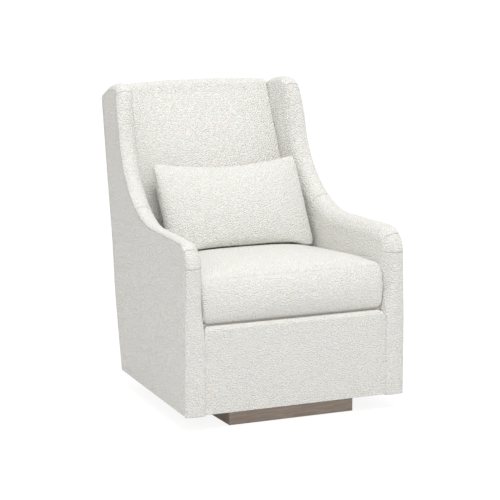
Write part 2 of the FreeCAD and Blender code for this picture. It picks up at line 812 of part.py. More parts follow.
def stop_bumpers():
    """Rubber stops on the stands, just clear of the links at the limits of the glide."""
    swing = math.radians(glide_limit_deg)
    aside = link_half_width + bumper_radius + bumper_gap
    y = pivot_half_spacing + bumper_drop * math.sin(swing) + aside * math.cos(swing)
    z = pivot_height - bumper_drop * math.cos(swing) + aside * math.sin(swing)
    bumpers = []
    for place in (-y, y):
        bumper = rod_x(bumper_radius, (stand_outer, link_outer), place, z)
        bumpers += [bumper, mirrored(bumper)]
    export("stop_bumpers", *bumpers)


def swing_link(y):
    """Right-hand link with round ends, bored for its bushes."""
    hole = pin_radius + running_clearance + bush_wall
    span = (link_inner, link_outer)
    body = box(span, (y - link_half_width, y + link_half_width), (lower_pivot_height, pivot_height))
    for z in (lower_pivot_height, pivot_height):
        body = body.fuse(rod_x(link_half_width, span, y, z))
    for z in (lower_pivot_height, pivot_height):
        body = body.cut(rod_x(hole, span, y, z))
    return body.removeSplitter()


def link_bush(y, z):
    """Right-hand bush with a flange on each face of the link."""
    bore = pin_radius + running_clearance
    span = (stand_outer + bush_flange_play, bracket_inner - bush_flange_play)
    bush = rod_x(bore + bush_wall, span, y, z)
    for flange in ((span[0], link_inner), (link_outer, span[1])):
        bush = bush.fuse(rod_x(bush_flange_radius, flange, y, z))
    return bush.cut(rod_x(bore, span, y, z)).removeSplitter()


def swing_links():
    """The four links that the chair hangs on, with their bushes."""
    for name, y in (("front", -pivot_half_spacing), ("rear", pivot_half_spacing)):
        link = swing_link(y)
        export(name + "_right_link", link)
        export(name + "_left_link", mirrored(link))
        bushes = [link_bush(y, z) for z in (lower_pivot_height, pivot_height)]
        export(name + "_link_bushes", *bushes, *[mirrored(bush) for bush in bushes])


def glide_brackets():
    """Steel brackets on wooden rails that hang the chair on the links, with their pins and bolts."""
    bracket_z = (lower_pivot_height - bracket_below_pivot, glide_rail_top)
    bracket = box((bracket_inner, bracket_outer), (-bracket_half_length, bracket_half_length), bracket_z)
    rail_x = (bracket_outer, bracket_outer + glide_rail_thickness)
    rail_y = (rail_front_y + board_thickness, seat_rear_rail_reach)
    rail = box(rail_x, rail_y, (glide_rail_bottom, glide_rail_top))
    pins, bolts = [], []
    for y in (-pivot_half_spacing, pivot_half_spacing):
        pin = rod_x(pin_radius, (stand_outer + bush_flange_play, bracket_outer), y, lower_pivot_height)
        head = (bracket_outer, bracket_outer + pin_head_height)
        pin = pin.fuse(rod_x(pin_head_radius, head, y, lower_pivot_height))
        bracket = bracket.cut(rod_x(pin_radius, (bracket_inner, bracket_outer), y, lower_pivot_height))
        pins += [pin, mirrored(pin)]
    bolt_z = (glide_rail_bottom + glide_rail_top) / 2
    for y in (-bracket_bolt_reach, 0, bracket_bolt_reach):
        shank = rod_x(bolt_radius, (bracket_inner, bracket_outer + bracket_bolt_bite), y, bolt_z)
        head = rod_x(bolt_head_radius, (bracket_inner - bolt_head_height, bracket_inner), y, bolt_z)
        bracket = bracket.cut(shank)
        rail = rail.cut(shank)
        bolts += [shank.fuse(head), mirrored(shank.fuse(head))]
    export_pair("glide_bracket", bracket)
    export_pair("glide_rail", rail)
    export("lower_pivot_pins", *pins)
    export("bracket_bolts", *bolts)


def main():
    """Make every piece of the chair."""
    os.makedirs("parts", exist_ok=True)
    plinth_boards()
    plinth_inside()
    swivel_base()
    swivel_upper_plate()
    link_stands()
    upper_pins()
    stop_bumpers()
    swing_links()
    glide_brackets()
    side_panels()
    side_frames()
    inner_arm_pads()
    arm_bands()
    seat_rails()
    seat_corner_blocks()
    seat_springs()
    seat_deck()
    front_apron()
    back_rails()
    back_springs()
    inside_back_pad()
    back_top_roll()
    outside_back_panel()
    seat_cushion()
    lumbar_pillow()


main()
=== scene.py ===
import json
import logging
import math
from dataclasses import dataclass, field
from enum import Enum
from functools import cache
from typing import Any

import bmesh
import bpy
import numpy as np
from mathutils import Matrix, Vector


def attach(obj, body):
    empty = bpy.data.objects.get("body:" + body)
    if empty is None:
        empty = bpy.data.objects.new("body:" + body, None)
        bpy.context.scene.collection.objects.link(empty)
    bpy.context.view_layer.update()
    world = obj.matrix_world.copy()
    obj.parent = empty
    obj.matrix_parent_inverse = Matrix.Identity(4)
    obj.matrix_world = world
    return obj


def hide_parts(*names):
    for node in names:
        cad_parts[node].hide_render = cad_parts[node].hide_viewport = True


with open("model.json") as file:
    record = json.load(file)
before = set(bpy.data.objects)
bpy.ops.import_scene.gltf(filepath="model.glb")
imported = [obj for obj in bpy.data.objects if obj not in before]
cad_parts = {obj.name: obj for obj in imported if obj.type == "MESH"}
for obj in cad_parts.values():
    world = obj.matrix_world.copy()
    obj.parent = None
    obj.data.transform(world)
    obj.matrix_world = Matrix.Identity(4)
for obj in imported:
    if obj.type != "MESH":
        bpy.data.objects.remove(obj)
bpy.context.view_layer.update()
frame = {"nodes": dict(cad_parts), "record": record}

log = logging.getLogger("glider_chair")

Array = np.ndarray
Mesh = bpy.types.Mesh
Node = bpy.types.Node
NodeTree = bpy.types.NodeTree
Piece = bpy.types.Object
Socket = bpy.types.NodeSocket
Colour = tuple[float, float, float, float]
Pair = tuple[float, float]
Triple = tuple[float, float, float]
WHITE: Colour = (1.0, 1.0, 1.0, 1.0)


class Side(Enum):
    """The two sides of the chair, as signs on the X axis."""

    LEFT = -1
    RIGHT = 1


class GrainAxis(Enum):
    """Direction in which a board's grain runs, as its turn from the X axis."""

    ALONG_X = 0.0
    ALONG_Y = math.pi / 2


def eased(share: Array) -> Array:
    """Smooth rise from 0 to 1: three times the square less twice the cube."""
    share = np.clip(share, 0.0, 1.0)
    return share * share * (3.0 - 2.0 * share)


def between(first: Any, last: Any, share: Array) -> Array:
    """Straight change from a first to a last value: the first plus a share of the difference."""
    return first + (last - first) * share


def hump(height: float, share: Array) -> Array:
    """Parabola over a share, from nothing at both ends to its height in the middle."""
    return 4.0 * height * share * (1.0 - share)


def beside(*grids: Array) -> Array:
    """Grids set side by side, along their second axis."""
    return np.concatenate(grids, axis=1)


def rounded_drop(distance: Array, radius: float) -> Array:
    """Fall of a rounded edge: the radius less a quarter circle's height at a distance in from the edge."""
    inside = np.clip(radius - distance, 0.0, radius)
    return radius - np.sqrt(radius ** 2 - inside ** 2)


def dense_ends(count: int, ease: float) -> Array:
    """Shares from 0 to 1 with finer steps at both ends: the share less an eased sine of a full turn."""
    share = np.linspace(0.0, 1.0, count)
    return share - ease * np.sin(2.0 * np.pi * share) / (2.0 * np.pi)


def both_ways(count: int, ease: float) -> Array:
    """Shares from -1 to 1 with finer steps at both ends."""
    return 2.0 * dense_ends(count, ease) - 1.0


def quarter(start: float, end: float, count: int) -> tuple[Array, Array]:
    """Cosines and sines of angles, in degrees, spread evenly from a start to an end."""
    angle = np.radians(np.linspace(start, end, count))
    return np.cos(angle), np.sin(angle)


def run_lengths(points: Array, axis: int) -> Array:
    """Length run along the lines of a grid, from their first point.

    Args:
        points: Grid of points.
        axis: Axis of the grid that the lines run along.

    Returns:
        Running length at every point.
    """
    steps = np.linalg.norm(np.diff(points, axis=axis), axis=-1)
    start = np.zeros_like(np.take(steps, [0], axis))
    return np.concatenate([start, np.cumsum(steps, axis=axis)], axis=axis)


def read_off(at: Array, run: Array, line: Array) -> Array:
    """Pairs read off a line, straight between its points.

    Args:
        at: Lengths along the line to read at.
        run: Running length of the line's points.
        line: The points as pairs, one per row.

    Returns:
        Pairs in the last axis.
    """
    return np.stack([np.interp(at, run, line[:, axis]) for axis in (0, 1)], axis=-1)


def edge_distance(points: Array) -> Array:
    """Distance of every grid point from the grid's nearest side, along the grid's own lines."""
    down, across = run_lengths(points, 0), run_lengths(points, 1)
    return np.minimum.reduce([down, down[-1:] - down, across, across[:, -1:] - across])


@dataclass(frozen=True)
class LoopPile:
    """Small lumps of a looped fabric, as real relief on its surface."""

    wavelength: float = 0.0110
    spread: Pair = (0.75, 1.5)
    height: float = 0.00009
    waves: int = 42
    seed: int = 11

    def relief(self, points: Array) -> Array:
        """Height of the lumps: the sum of cosine waves in random directions, scaled to an even spread.

        Args:
            points: Places in metres, one per row.

        Returns:
            Height above the smooth surface at each place.
        """
        draw = np.random.default_rng(self.seed)
        direction = draw.normal(size=(self.waves, 3))
        direction /= np.linalg.norm(direction, axis=1, keepdims=True)
        length = self.wavelength * draw.uniform(*self.spread, self.waves)
        phase = draw.uniform(0.0, 2.0 * np.pi, self.waves)
        turns = points @ (direction * (2.0 * np.pi / length)[:, None]).T + phase
        return self.height * np.cos(turns).sum(axis=1) / math.sqrt(self.waves / 2.0)


@dataclass
class Shell:
    """A closed surface: its points, its faces and how deep each point lies in a seam."""

    points: Array
    faces: list[list[int]]
    seam: Array

    @staticmethod
    def quads(index: Array) -> list[list[int]]:
        """Four-cornered faces between the neighbours of a grid of point numbers."""
        corners = [index[:-1, :-1], index[1:, :-1], index[1:, 1:], index[:-1, 1:]]
        return np.stack(corners, axis=-1).reshape(-1, 4).tolist()

    @staticmethod
    def rim(grid: Array) -> Array:
        """Entries round the edge of a grid, in order."""
        return np.concatenate([grid[0, :-1], grid[:-1, -1], grid[-1, :0:-1], grid[:0:-1, 0]])

    @classmethod
    def tube(cls, rings: Array, seam: Array | None = None) -> "Shell":
        """Closed tube: a closed profile carried along a path, with a flat cap at each end.

        Args:
            rings: Points by station along the path and place round the profile.
            seam: Seam share of the same points.

        Returns:
            The closed surface.
        """
        stations, around = rings.shape[:2]
        index = np.arange(stations * around).reshape(stations, around)
        caps = [index[0].tolist(), index[-1, ::-1].tolist()]
        sides = cls.quads(np.concatenate([index, index[:, :1]], axis=1))
        share = np.zeros(stations * around) if seam is None else seam.reshape(-1)
        return cls(rings.reshape(-1, 3), sides + caps, share)

    @classmethod
    def carried(cls, x: Array, plane: Array) -> "Shell":
        """Closed tube from distances across the chair and places in its side view."""
        return cls.tube(np.concatenate([x[..., None], plane], axis=-1))

    @classmethod
    def panel(cls, front: Array, back_rim: Array) -> "Shell":
        """Padded panel: a formed front sheet, a rim round it and one flat back face.

        Args:
            front: Grid of points of the front sheet.
            back_rim: Points of the flat back, in the order of the front sheet's rim.

        Returns:
            The closed surface.
        """
        rows, columns = front.shape[:2]
        index = np.arange(rows * columns).reshape(rows, columns)
        rim = cls.rim(index)
        back = rows * columns + np.arange(len(rim))
        sides = np.stack([rim, back, np.roll(back, -1), np.roll(rim, -1)], axis=-1).tolist()
        points = np.concatenate([front.reshape(-1, 3), back_rim])
        return cls(points, cls.quads(index) + sides + [back[::-1].tolist()], np.zeros(len(points)))


class EdgePath:
    """The line along the front and top of an arm and its wing, in the side view."""

    def __init__(self, corners: Array, radii: list[float], arc_points: int = 240) -> None:
        """Lay straight runs joined by tangent arcs.

        Args:
            corners: Corners of the line as depth and height.
            radii: Radius at each inner corner.
            arc_points: Points on each arc.
        """
        runs = [corners[:1]]
        share = np.linspace(0.0, 1.0, arc_points)[:, None]
        for corner, before, after, radius in zip(corners[1:-1], corners[:-2], corners[2:], radii):
            back = (before - corner) / np.linalg.norm(before - corner)
            ahead = (after - corner) / np.linalg.norm(after - corner)
            half = math.acos(float(back @ ahead)) / 2.0
            start = corner + back * radius / math.tan(half)
            end = corner + ahead * radius / math.tan(half)
            centre = corner + (back + ahead) / np.linalg.norm(back + ahead) * radius / math.sin(half)
            rays = start + (end - start) * share - centre
            runs.append(centre + radius * rays / np.linalg.norm(rays, axis=1, keepdims=True))
        runs.append(corners[-1:])
        self.points = np.concatenate(runs)
        self.run = run_lengths(self.points, 0)
        self.length = float(self.run[-1])
        heading = np.gradient(self.points, self.run, axis=0)
        heading /= np.linalg.norm(heading, axis=1, keepdims=True)
        self.normals = np.stack([-heading[:, 1], heading[:, 0]], axis=1)

    def at(self, run: Array) -> tuple[Array, Array]:
        """Points and outward normals, as depth and height, at lengths from the arm's foot."""
        point, normal = (read_off(run, self.run, line) for line in (self.points, self.normals))
        return point, normal / np.linalg.norm(normal, axis=-1, keepdims=True)


@dataclass(frozen=True)
class Silhouette:
    """Sizes of the chair's shell in metres, and the planes that its covers follow."""

    half_front: float = 0.368
    splay: float = math.radians(3.4)
    front: float = 0.318
    bottom: float = 0.050
    arm: float = 0.058
    arm_top: float = 0.580
    arm_radius: float = 0.077
    flare: float = 0.006
    flare_top: Pair = (0.25, 0.52)
    wing_foot: float = 0.257
    sweep_radius: float = 0.330
    wing_reach: float = 0.360
    wing_top: float = 0.991
    wing_radius: float = 0.046
    crest: Pair = (0.455, 0.987)
    crest_radius: float = 0.200
    crest_start: float = 1.28
    crest_length: float = 0.11
    crest_drop: float = 0.020
    seam_drop: float = 0.009
    rear_top: Pair = (0.543, 0.950)
    rear_crest: float = 0.951
    rear_foot: float = 0.330
    rear_bulge: float = 0.009
    back_panel: float = 0.0100
    deck: Pair = (-0.287, 0.329)
    rake: float = math.radians(3.6)
    back: Pair = (0.193, 0.318)
    lean: float = math.radians(23.5)
    back_length: float = 0.680
    clear: float = 0.0005

    @property
    def path(self) -> EdgePath:
        """Line along the front and top of an arm and its wing."""
        corners = np.array([
            (-self.front, self.bottom), (-self.front, self.arm_top), (self.wing_foot, self.arm_top),
            (self.wing_reach, self.wing_top), self.crest, (self.rear_top[0], self.rear_crest)])
        return EdgePath(corners, [self.arm_radius, self.sweep_radius, self.wing_radius, self.crest_radius])

    @property
    def rear_lean(self) -> float:
        """Angle by which the chair's rear leans back."""
        return math.atan2(self.rear_top[0] - self.rear_foot, self.rear_top[1] - self.bottom)

    def seam_below(self, run: Array) -> Array:
        """Depth of the outer seam below the edge: small on the arm, eased to a larger one on the wing."""
        crest = eased((run - self.crest_start) / self.crest_length)
        return between(self.seam_drop, self.crest_drop, crest)

    def half_width(self, depth: Array, inset: float) -> Array:
        """Half of the clear width at a depth, an inset inside the splayed outer faces."""
        return self.half_front - inset / math.cos(self.splay) - (depth + self.front) * math.tan(self.splay)

    def fullness(self, height: Array) -> Array:
        """How far the sides stand out below: the flare, eased away between two heights."""
        low, high = self.flare_top
        return self.flare * (1.0 - eased((height - low) / (high - low)))

    def deck_point(self, back: Array, up: Array) -> Array:
        """Depth and height of points on the raked seat, from the deck's front edge."""
        return self.tilted(self.deck, self.rake, back, up)

    def back_point(self, behind: Array, up: Array) -> Array:
        """Depth and height of points on the leaning back, from the foot of its front face."""
        return self.tilted(self.back, self.lean, behind, up)

    def rear_point(self, outward: Array, share: Array) -> Array:
        """Depth and height of points on the rear plane, bowed out between its foot and its top."""
        height = (self.rear_top[1] - self.bottom) / math.cos(self.rear_lean)
        outward = outward + hump(self.rear_bulge, share)
        return self.tilted((self.rear_foot, self.bottom), self.rear_lean, outward, share * height)

    @staticmethod
    def tilted(origin: Pair, tilt: float, along: Array, up: Array) -> Array:
        """Points of a frame that leans back by a tilt, as depth and height.

        Args:
            origin: Depth and height of the frame's origin.
            tilt: Lean of its upright axis.
            along: Distances along its level axis.
            up: Distances along its upright axis.

        Returns:
            Depths and heights in the last axis.
        """
        cosine, sine = math.cos(tilt), math.sin(tilt)
        depth = origin[0] + along * cosine + up * sine
        return np.stack([depth, origin[1] - along * sine + up * cosine], axis=-1)

    def on_side(self, side: Side, below: Array, plane: Array) -> Array:
        """Points of a side that is turned about the arm's front corner, a little fuller below.

        Args:
            side: Which side; the left one is mirrored.
            below: Distances below its outer face.
            plane: Depths and heights before the side is turned.

        Returns:
            Points in space.
        """
        depth = plane[..., 0] + self.front
        cosine, sine = math.cos(self.splay), math.sin(self.splay)
        flare = self.fullness(plane[..., 1]) * np.clip(1.0 - below / self.arm, 0.0, 1.0)
        x = self.half_front - below * cosine - depth * sine + flare
        y = -self.front - below * sine + depth * cosine
        return np.stack([side.value * x, y, plane[..., 1] + 0.0 * below], axis=-1)


class Wiring:
    """Shorthand for laying out a node tree."""

    def __init__(self, tree: NodeTree) -> None:
        """Start with an empty tree."""
        self.tree = tree
        tree.nodes.clear()

    def feed(self, node: Node, inputs: dict[str | int, Any]) -> None:
        """Wire the sockets and set the values that a node's inputs get, by name or number."""
        for key, value in inputs.items():
            if isinstance(value, Socket):
                self.tree.links.new(value, node.inputs[key])
            else:
                node.inputs[key].default_value = value

    def add(self, kind: str, inputs: dict[str | int, Any] | None = None, **settings: Any) -> Node:
        """Add a node, set it and wire it.

        Args:
            kind: Blender's name of the node's type.
            inputs: Values or sockets by input name or number.
            settings: Properties of the node.

        Returns:
            The node.
        """
        node = self.tree.nodes.new(kind)
        for name, value in settings.items():
            setattr(node, name, value)
        self.feed(node, inputs or {})
        return node

    def math(self, operation: str, first: Any, second: Any, third: Any = 0.0) -> Socket:
        """Result of a sum, product or other operation on values or sockets."""
        return self.add("ShaderNodeMath", {0: first, 1: second, 2: third}, operation=operation).outputs[0]

    def vector(self, operation: str, first: Any, second: Any) -> Socket:
        """Result of an operation on two vectors."""
        return self.add("ShaderNodeVectorMath", {0: first, 1: second}, operation=operation).outputs[0]

    def mix(self, share: Any, first: Any, second: Any, blend: str = "MIX") -> Socket:
        """Colour mixed from two by a share."""
        inputs = {0: share, 6: first, 7: second}
        return self.add("ShaderNodeMix", inputs, data_type="RGBA", blend_type=blend).outputs[2]

    def fit(self, value: Any, low: float, high: float, out_low: float = 0.0, out_high: float = 1.0) -> Any:
        """Value stretched from one range to another and held at its ends."""
        inputs = {0: value, 1: low, 2: high, 3: out_low, 4: out_high}
        return self.add("ShaderNodeMapRange", inputs).outputs[0]

    def noise(self, place: Any, scale: Any, detail: float, **more: float) -> Socket:
        """Value of a noise pattern at a place."""
        inputs = {"Vector": place, "Scale": scale, "Detail": detail, **more}
        return self.add("ShaderNodeTexNoise", inputs).outputs[0]


class Groups:
    """Node groups that more than one finish uses or may use, each made once."""

    BEND_SCALE = 0.55
    CURL_SCALE = 2.6
    CURL_HEIGHT = 0.12
    LUMP_HEIGHT = 0.92
    LUMP_RANGE: Pair = (0.75, 0.05)
    # Heights over which the painted shade of the hollows between loops fades in.
    HOLLOW_RANGE: Pair = (0.75, 0.3)
    PORE_SCALE = 3.4
    SHADE_SCALE = 0.16
    STREAK_RANGE: Pair = (0.32, 0.68)
    PORE_RANGE: Pair = (0.56, 0.72)
    NOISE_RANGE: Pair = (0.3, 0.7)

    @staticmethod
    def start(name: str, inputs: dict[str, float], outputs: list[str]) -> tuple[Wiring, Any, Node]:
        """Start a group with a vector and values as inputs.

        Args:
            name: Name of the group.
            inputs: Value inputs and their defaults.
            outputs: Value outputs.

        Returns:
            Its wiring, the sockets that it takes and the node that it gives its results to.
        """
        tree = bpy.data.node_groups.new(name, "ShaderNodeTree")
        tree.interface.new_socket(name="Vector", in_out="INPUT", socket_type="NodeSocketVector")
        for socket, value in inputs.items():
            made = tree.interface.new_socket(name=socket, in_out="INPUT", socket_type="NodeSocketFloat")
            made.default_value = value
        for socket in outputs:
            tree.interface.new_socket(name=socket, in_out="OUTPUT", socket_type="NodeSocketFloat")
        wiring = Wiring(tree)
        return wiring, wiring.add("NodeGroupInput").outputs, wiring.add("NodeGroupOutput")

    @classmethod
    @cache
    def loops(cls) -> NodeTree:
        """Looped yarn: scattered rounded lumps, bent a little by noise and roughened by fine curls, with a
        share of painted shade for the hollows between them.
        """
        defaults = {"Loops per metre": 205.0, "Bend": 0.0008}
        wiring, taken, given = cls.start("looped_yarn", defaults, ["Height", "Hollow"])
        vector, loops = taken["Vector"], taken["Loops per metre"]
        bend = wiring.add("ShaderNodeTexNoise", {
            "Vector": vector, "Scale": wiring.math("MULTIPLY", loops, cls.BEND_SCALE), "Detail": 1.0})
        shift = wiring.vector("ADD", bend.outputs["Color"], (-0.5, -0.5, -0.5))
        scaled = wiring.add("ShaderNodeVectorMath", {0: shift, "Scale": taken["Bend"]}, operation="SCALE")
        place = wiring.vector("ADD", vector, scaled.outputs[0])
        cells = wiring.add("ShaderNodeTexVoronoi", {
            "Vector": place, "Scale": loops, "Smoothness": 0.25, "Randomness": 1.0}, feature="SMOOTH_F1")
        curls = wiring.noise(
            place, wiring.math("MULTIPLY", loops, cls.CURL_SCALE), detail=2.0, Roughness=0.6)
        lump = wiring.fit(cells.outputs["Distance"], *cls.LUMP_RANGE)
        lump = wiring.math("MULTIPLY", lump, cls.LUMP_HEIGHT)
        height = wiring.math("MULTIPLY_ADD", curls, cls.CURL_HEIGHT, lump)
        # Painted shade: the second output darkens the yarn's colour in the hollows between the loops, where
        # shade would fall.
        wiring.feed(given, {"Height": height, "Hollow": wiring.fit(height, *cls.HOLLOW_RANGE)})
        return wiring.tree

    @classmethod
    @cache
    def grain(cls) -> NodeTree:
        """Wood grain along X: long streaks, finer pores and a slow change of shade."""
        defaults = {"Stretch": 22.0, "Fineness": 260.0}
        wiring, taken, given = cls.start("wood_grain", defaults, ["Streak", "Pore", "Shade"])
        squeeze = {0: wiring.math("DIVIDE", 1.0, taken["Stretch"]), 1: 1.0, 2: 1.0}
        squeezed = wiring.add("ShaderNodeCombineXYZ", squeeze).outputs[0]
        place, fineness = wiring.vector("MULTIPLY", taken["Vector"], squeezed), taken["Fineness"]
        streak = wiring.noise(place, fineness, detail=4.0, Roughness=0.62, Distortion=0.5)
        pore = wiring.noise(place, wiring.math("MULTIPLY", fineness, cls.PORE_SCALE), detail=2.0)
        shade = wiring.noise(place, wiring.math("MULTIPLY", fineness, cls.SHADE_SCALE), detail=2.0)
        wiring.feed(given, {
            "Streak": wiring.fit(streak, *cls.STREAK_RANGE), "Pore": wiring.fit(pore, *cls.PORE_RANGE),
            "Shade": wiring.fit(shade, *cls.NOISE_RANGE)})
        return wiring.tree

    @classmethod
    @cache
    def speckle(cls) -> NodeTree:
        """Fine speckle and slow cloudiness of a coated, plated or moulded surface."""
        defaults = {"Fineness": 900.0, "Cloud": 14.0}
        wiring, taken, given = cls.start("fine_speckle", defaults, ["Speck", "Cloud"])
        for output, scale in (("Speck", "Fineness"), ("Cloud", "Cloud")):
            noise = wiring.noise(taken["Vector"], taken[scale], detail=3.0)
            wiring.feed(given, {output: wiring.fit(noise, *cls.NOISE_RANGE)})
        return wiring.tree


class Finish:
    """A finish that is made into a material once and then shared."""

    name: str

    def title(self) -> str:
        """Name of the material."""
        return self.name

    def material(self) -> bpy.types.Material:
        """The finish as a material, made at its first use."""
        known = bpy.data.materials.get(self.title())
        if known is None:
            known = bpy.data.materials.new(self.title())
            known.use_nodes = True
            wiring = Wiring(known.node_tree)
            shader = wiring.add("ShaderNodeBsdfPrincipled")
            wiring.add("ShaderNodeOutputMaterial", {"Surface": shader.outputs[0]})
            self.wire(wiring, shader, wiring.add("ShaderNodeTexCoord").outputs["Object"])
        return known

    def wire(self, wiring: Wiring, shader: Node, place: Socket) -> None:
        """Lay out the nodes of the finish in front of its shader."""
        raise NotImplementedError

    @staticmethod
    def relief(wiring: Wiring, shader: Node, height: Any, strength: float, distance: float) -> None:
        """Feed a height to the shader's normal.

        Args:
            wiring: Node tree of the material.
            shader: Its shader.
            height: Socket of the height.
            strength: Strength of the relief.
            distance: Its full height in metres.
        """
        bump = wiring.add("ShaderNodeBump", {"Height": height, "Strength": strength, "Distance": distance})
        wiring.feed(shader, {"Normal": bump.outputs[0]})

    @staticmethod
    def group(wiring: Wiring, tree: NodeTree, place: Any, **values: float) -> Any:
        """Place a shared group in a material with its own values.

        Args:
            wiring: Node tree of the material.
            tree: The group.
            place: Socket of the pattern's place.
            values: Values by input name, with underscores for spaces.

        Returns:
            The sockets that the group gives.
        """
        inputs = {name.replace("_", " "): value for name, value in values.items()}
        return wiring.add("ShaderNodeGroup", {"Vector": place, **inputs}, node_tree=tree).outputs


@dataclass(frozen=True)
class BoucleFinish(Finish):
    """Off-white looped wool blend with soft hollows between its loops."""

    name: str = "boucle"
    light: Colour = (0.940, 0.931, 0.894, 1.0)
    # Painted shade: colour of the hollows between the loops, darker where shade falls.
    hollow: Colour = (0.800, 0.790, 0.750, 1.0)
    warm: Colour = (1.0, 0.990, 0.972, 1.0)
    cool: Colour = (0.985, 0.993, 1.0, 1.0)
    # Stitch colour that is also painted shade in the seam grooves.
    stitch_and_groove_shade: Colour = (0.47, 0.46, 0.43, 1.0)
    stitch_and_shade_share: float = 0.45
    mottle: float = 26.0
    mottle_range: Pair = (0.35, 0.65)
    loops: float = 205.0
    bend: float = 0.0008
    relief_height: float = 0.0038
    squash: Triple = (0.95, 0.95, 1.25)
    roughness: float = 0.93
    specular: float = 0.2
    sheen: Pair = (0.15, 0.6)

    def wire(self, wiring: Wiring, shader: Node, place: Socket) -> None:
        """Loops as relief with painted shade in their hollows, slow warm and cool mottling, and seams
        darkened by a stitch colour that is partly painted shade.
        """
        flat = wiring.vector("MULTIPLY", place, self.squash)
        loops = self.group(wiring, Groups.loops(), flat, Loops_per_metre=self.loops, Bend=self.bend)
        mottle = wiring.fit(wiring.noise(place, self.mottle, detail=2.0), *self.mottle_range)
        # Painted shade: the yarn's colour is darkened in the hollows between the loops.
        yarn = wiring.mix(loops["Hollow"], self.light, self.hollow)
        yarn = wiring.mix(1.0, yarn, wiring.mix(mottle, self.warm, self.cool), blend="MULTIPLY")
        seam = wiring.add("ShaderNodeAttribute", attribute_name="seam").outputs["Fac"]
        # Seams darkened towards the stitch colour: partly the stitch itself, partly painted shade in the seam
        # groove.
        colour = wiring.mix(wiring.math("MULTIPLY", seam, self.stitch_and_shade_share), yarn, self.stitch_and_groove_shade)
        weight, roughness = self.sheen
        wiring.feed(shader, {
            "Base Color": colour, "Roughness": self.roughness, "Specular IOR Level": self.specular,
            "Sheen Weight": weight, "Sheen Roughness": roughness})
        self.relief(wiring, shader, loops["Height"], strength=1.0, distance=self.relief_height)


@dataclass(frozen=True)
class LiningFinish(Finish):
    """Plain woven lining cloth of the seat deck."""

    name: str = "lining_cloth"
    light: Colour = (0.78, 0.765, 0.72, 1.0)
    dark: Colour = (0.62, 0.60, 0.55, 1.0)
    threads: float = 900.0
    turn: float = 6.28
    waver: float = 0.4
    speck: Pair = (500.0, 18.0)
    cloud_share: float = 0.4
    roughness: float = 0.95
    specular: float = 0.15
    relief_height: float = 0.0004

    def wire(self, wiring: Wiring, shader: Node, place: Socket) -> None:
        """Two crossed waves as warp and weft, with a slow cloudiness."""
        wave = {"Vector": place, "Scale": self.threads / self.turn, "Distortion": self.waver}
        warp, weft = (wiring.add("ShaderNodeTexWave", wave, bands_direction=axis) for axis in ("X", "Y"))
        weave = wiring.math("MULTIPLY", warp.outputs["Fac"], weft.outputs["Fac"])
        fineness, cloud = self.speck
        speck = self.group(wiring, Groups.speckle(), place, Fineness=fineness, Cloud=cloud)
        shade = wiring.math("MULTIPLY", weave, 1.0 - self.cloud_share)
        shade = wiring.math("MULTIPLY_ADD", speck["Cloud"], self.cloud_share, shade)
        wiring.feed(shader, {
            "Base Color": wiring.mix(shade, self.dark, self.light), "Roughness": self.roughness,
            "Specular IOR Level": self.specular})
        self.relief(wiring, shader, weave, strength=0.3, distance=self.relief_height)


@dataclass(frozen=True)
class WoodFinish(Finish):
    """Sawn or brushed wood with its grain along one axis."""

    name: str
    light: Colour
    dark: Colour
    pore: Colour
    axis: GrainAxis = GrainAxis.ALONG_X
    stretch: float = 22.0
    fineness: float = 240.0
    streak_share: float = 0.65
    pore_share: float = 0.6
    roughness: float = 0.6
    dull: float = 0.1
    polish: float = 0.05
    specular: float = 0.3
    relief_height: float = 0.0003

    def title(self) -> str:
        """Name of the material, with the direction of its grain."""
        return f"{self.name}_{self.axis.name.lower()}"

    def wire(self, wiring: Wiring, shader: Node, place: Socket) -> None:
        """Streaks between two shades, open pores, and roughness that follows the streaks."""
        turned = wiring.add("ShaderNodeMapping", {"Vector": place, "Rotation": (0.0, 0.0, self.axis.value)})
        grain = self.group(
            wiring, Groups.grain(), turned.outputs[0], Stretch=self.stretch, Fineness=self.fineness)
        streak, pore = grain["Streak"], grain["Pore"]
        shade = wiring.math("MULTIPLY", grain["Shade"], 1.0 - self.streak_share)
        mixed = wiring.math("MULTIPLY_ADD", streak, self.streak_share, shade)
        board = wiring.mix(mixed, self.dark, self.light)
        board = wiring.mix(wiring.math("MULTIPLY", pore, self.pore_share), board, self.pore)
        rough = wiring.fit(streak, 0.0, 1.0, self.roughness + self.dull, self.roughness - self.polish)
        wiring.feed(shader, {"Base Color": board, "Roughness": rough, "Specular IOR Level": self.specular})
        height = wiring.math("SUBTRACT", streak, pore)
        self.relief(wiring, shader, height, strength=0.35, distance=self.relief_height)


@dataclass(frozen=True)
class HardFinish(Finish):
    """Coated steel, plated steel, nylon or rubber."""

    name: str
    light: Colour
    dark: Colour
    metallic: float = 0.0
    roughness: float = 0.5
    spread: float = 0.15
    fineness: float = 900.0
    relief_height: float = 0.0002

    def wire(self, wiring: Wiring, shader: Node, place: Socket) -> None:
        """Cloudy colour and roughness with a fine speckle as relief."""
        speck = self.group(wiring, Groups.speckle(), place, Fineness=self.fineness)
        cloud, half = speck["Cloud"], self.spread / 2.0
        wiring.feed(shader, {
            "Base Color": wiring.mix(cloud, self.dark, self.light), "Metallic": self.metallic,
            "Roughness": wiring.fit(cloud, 0.0, 1.0, self.roughness + half, self.roughness - half)})
        self.relief(wiring, shader, speck["Speck"], strength=0.25, distance=self.relief_height)


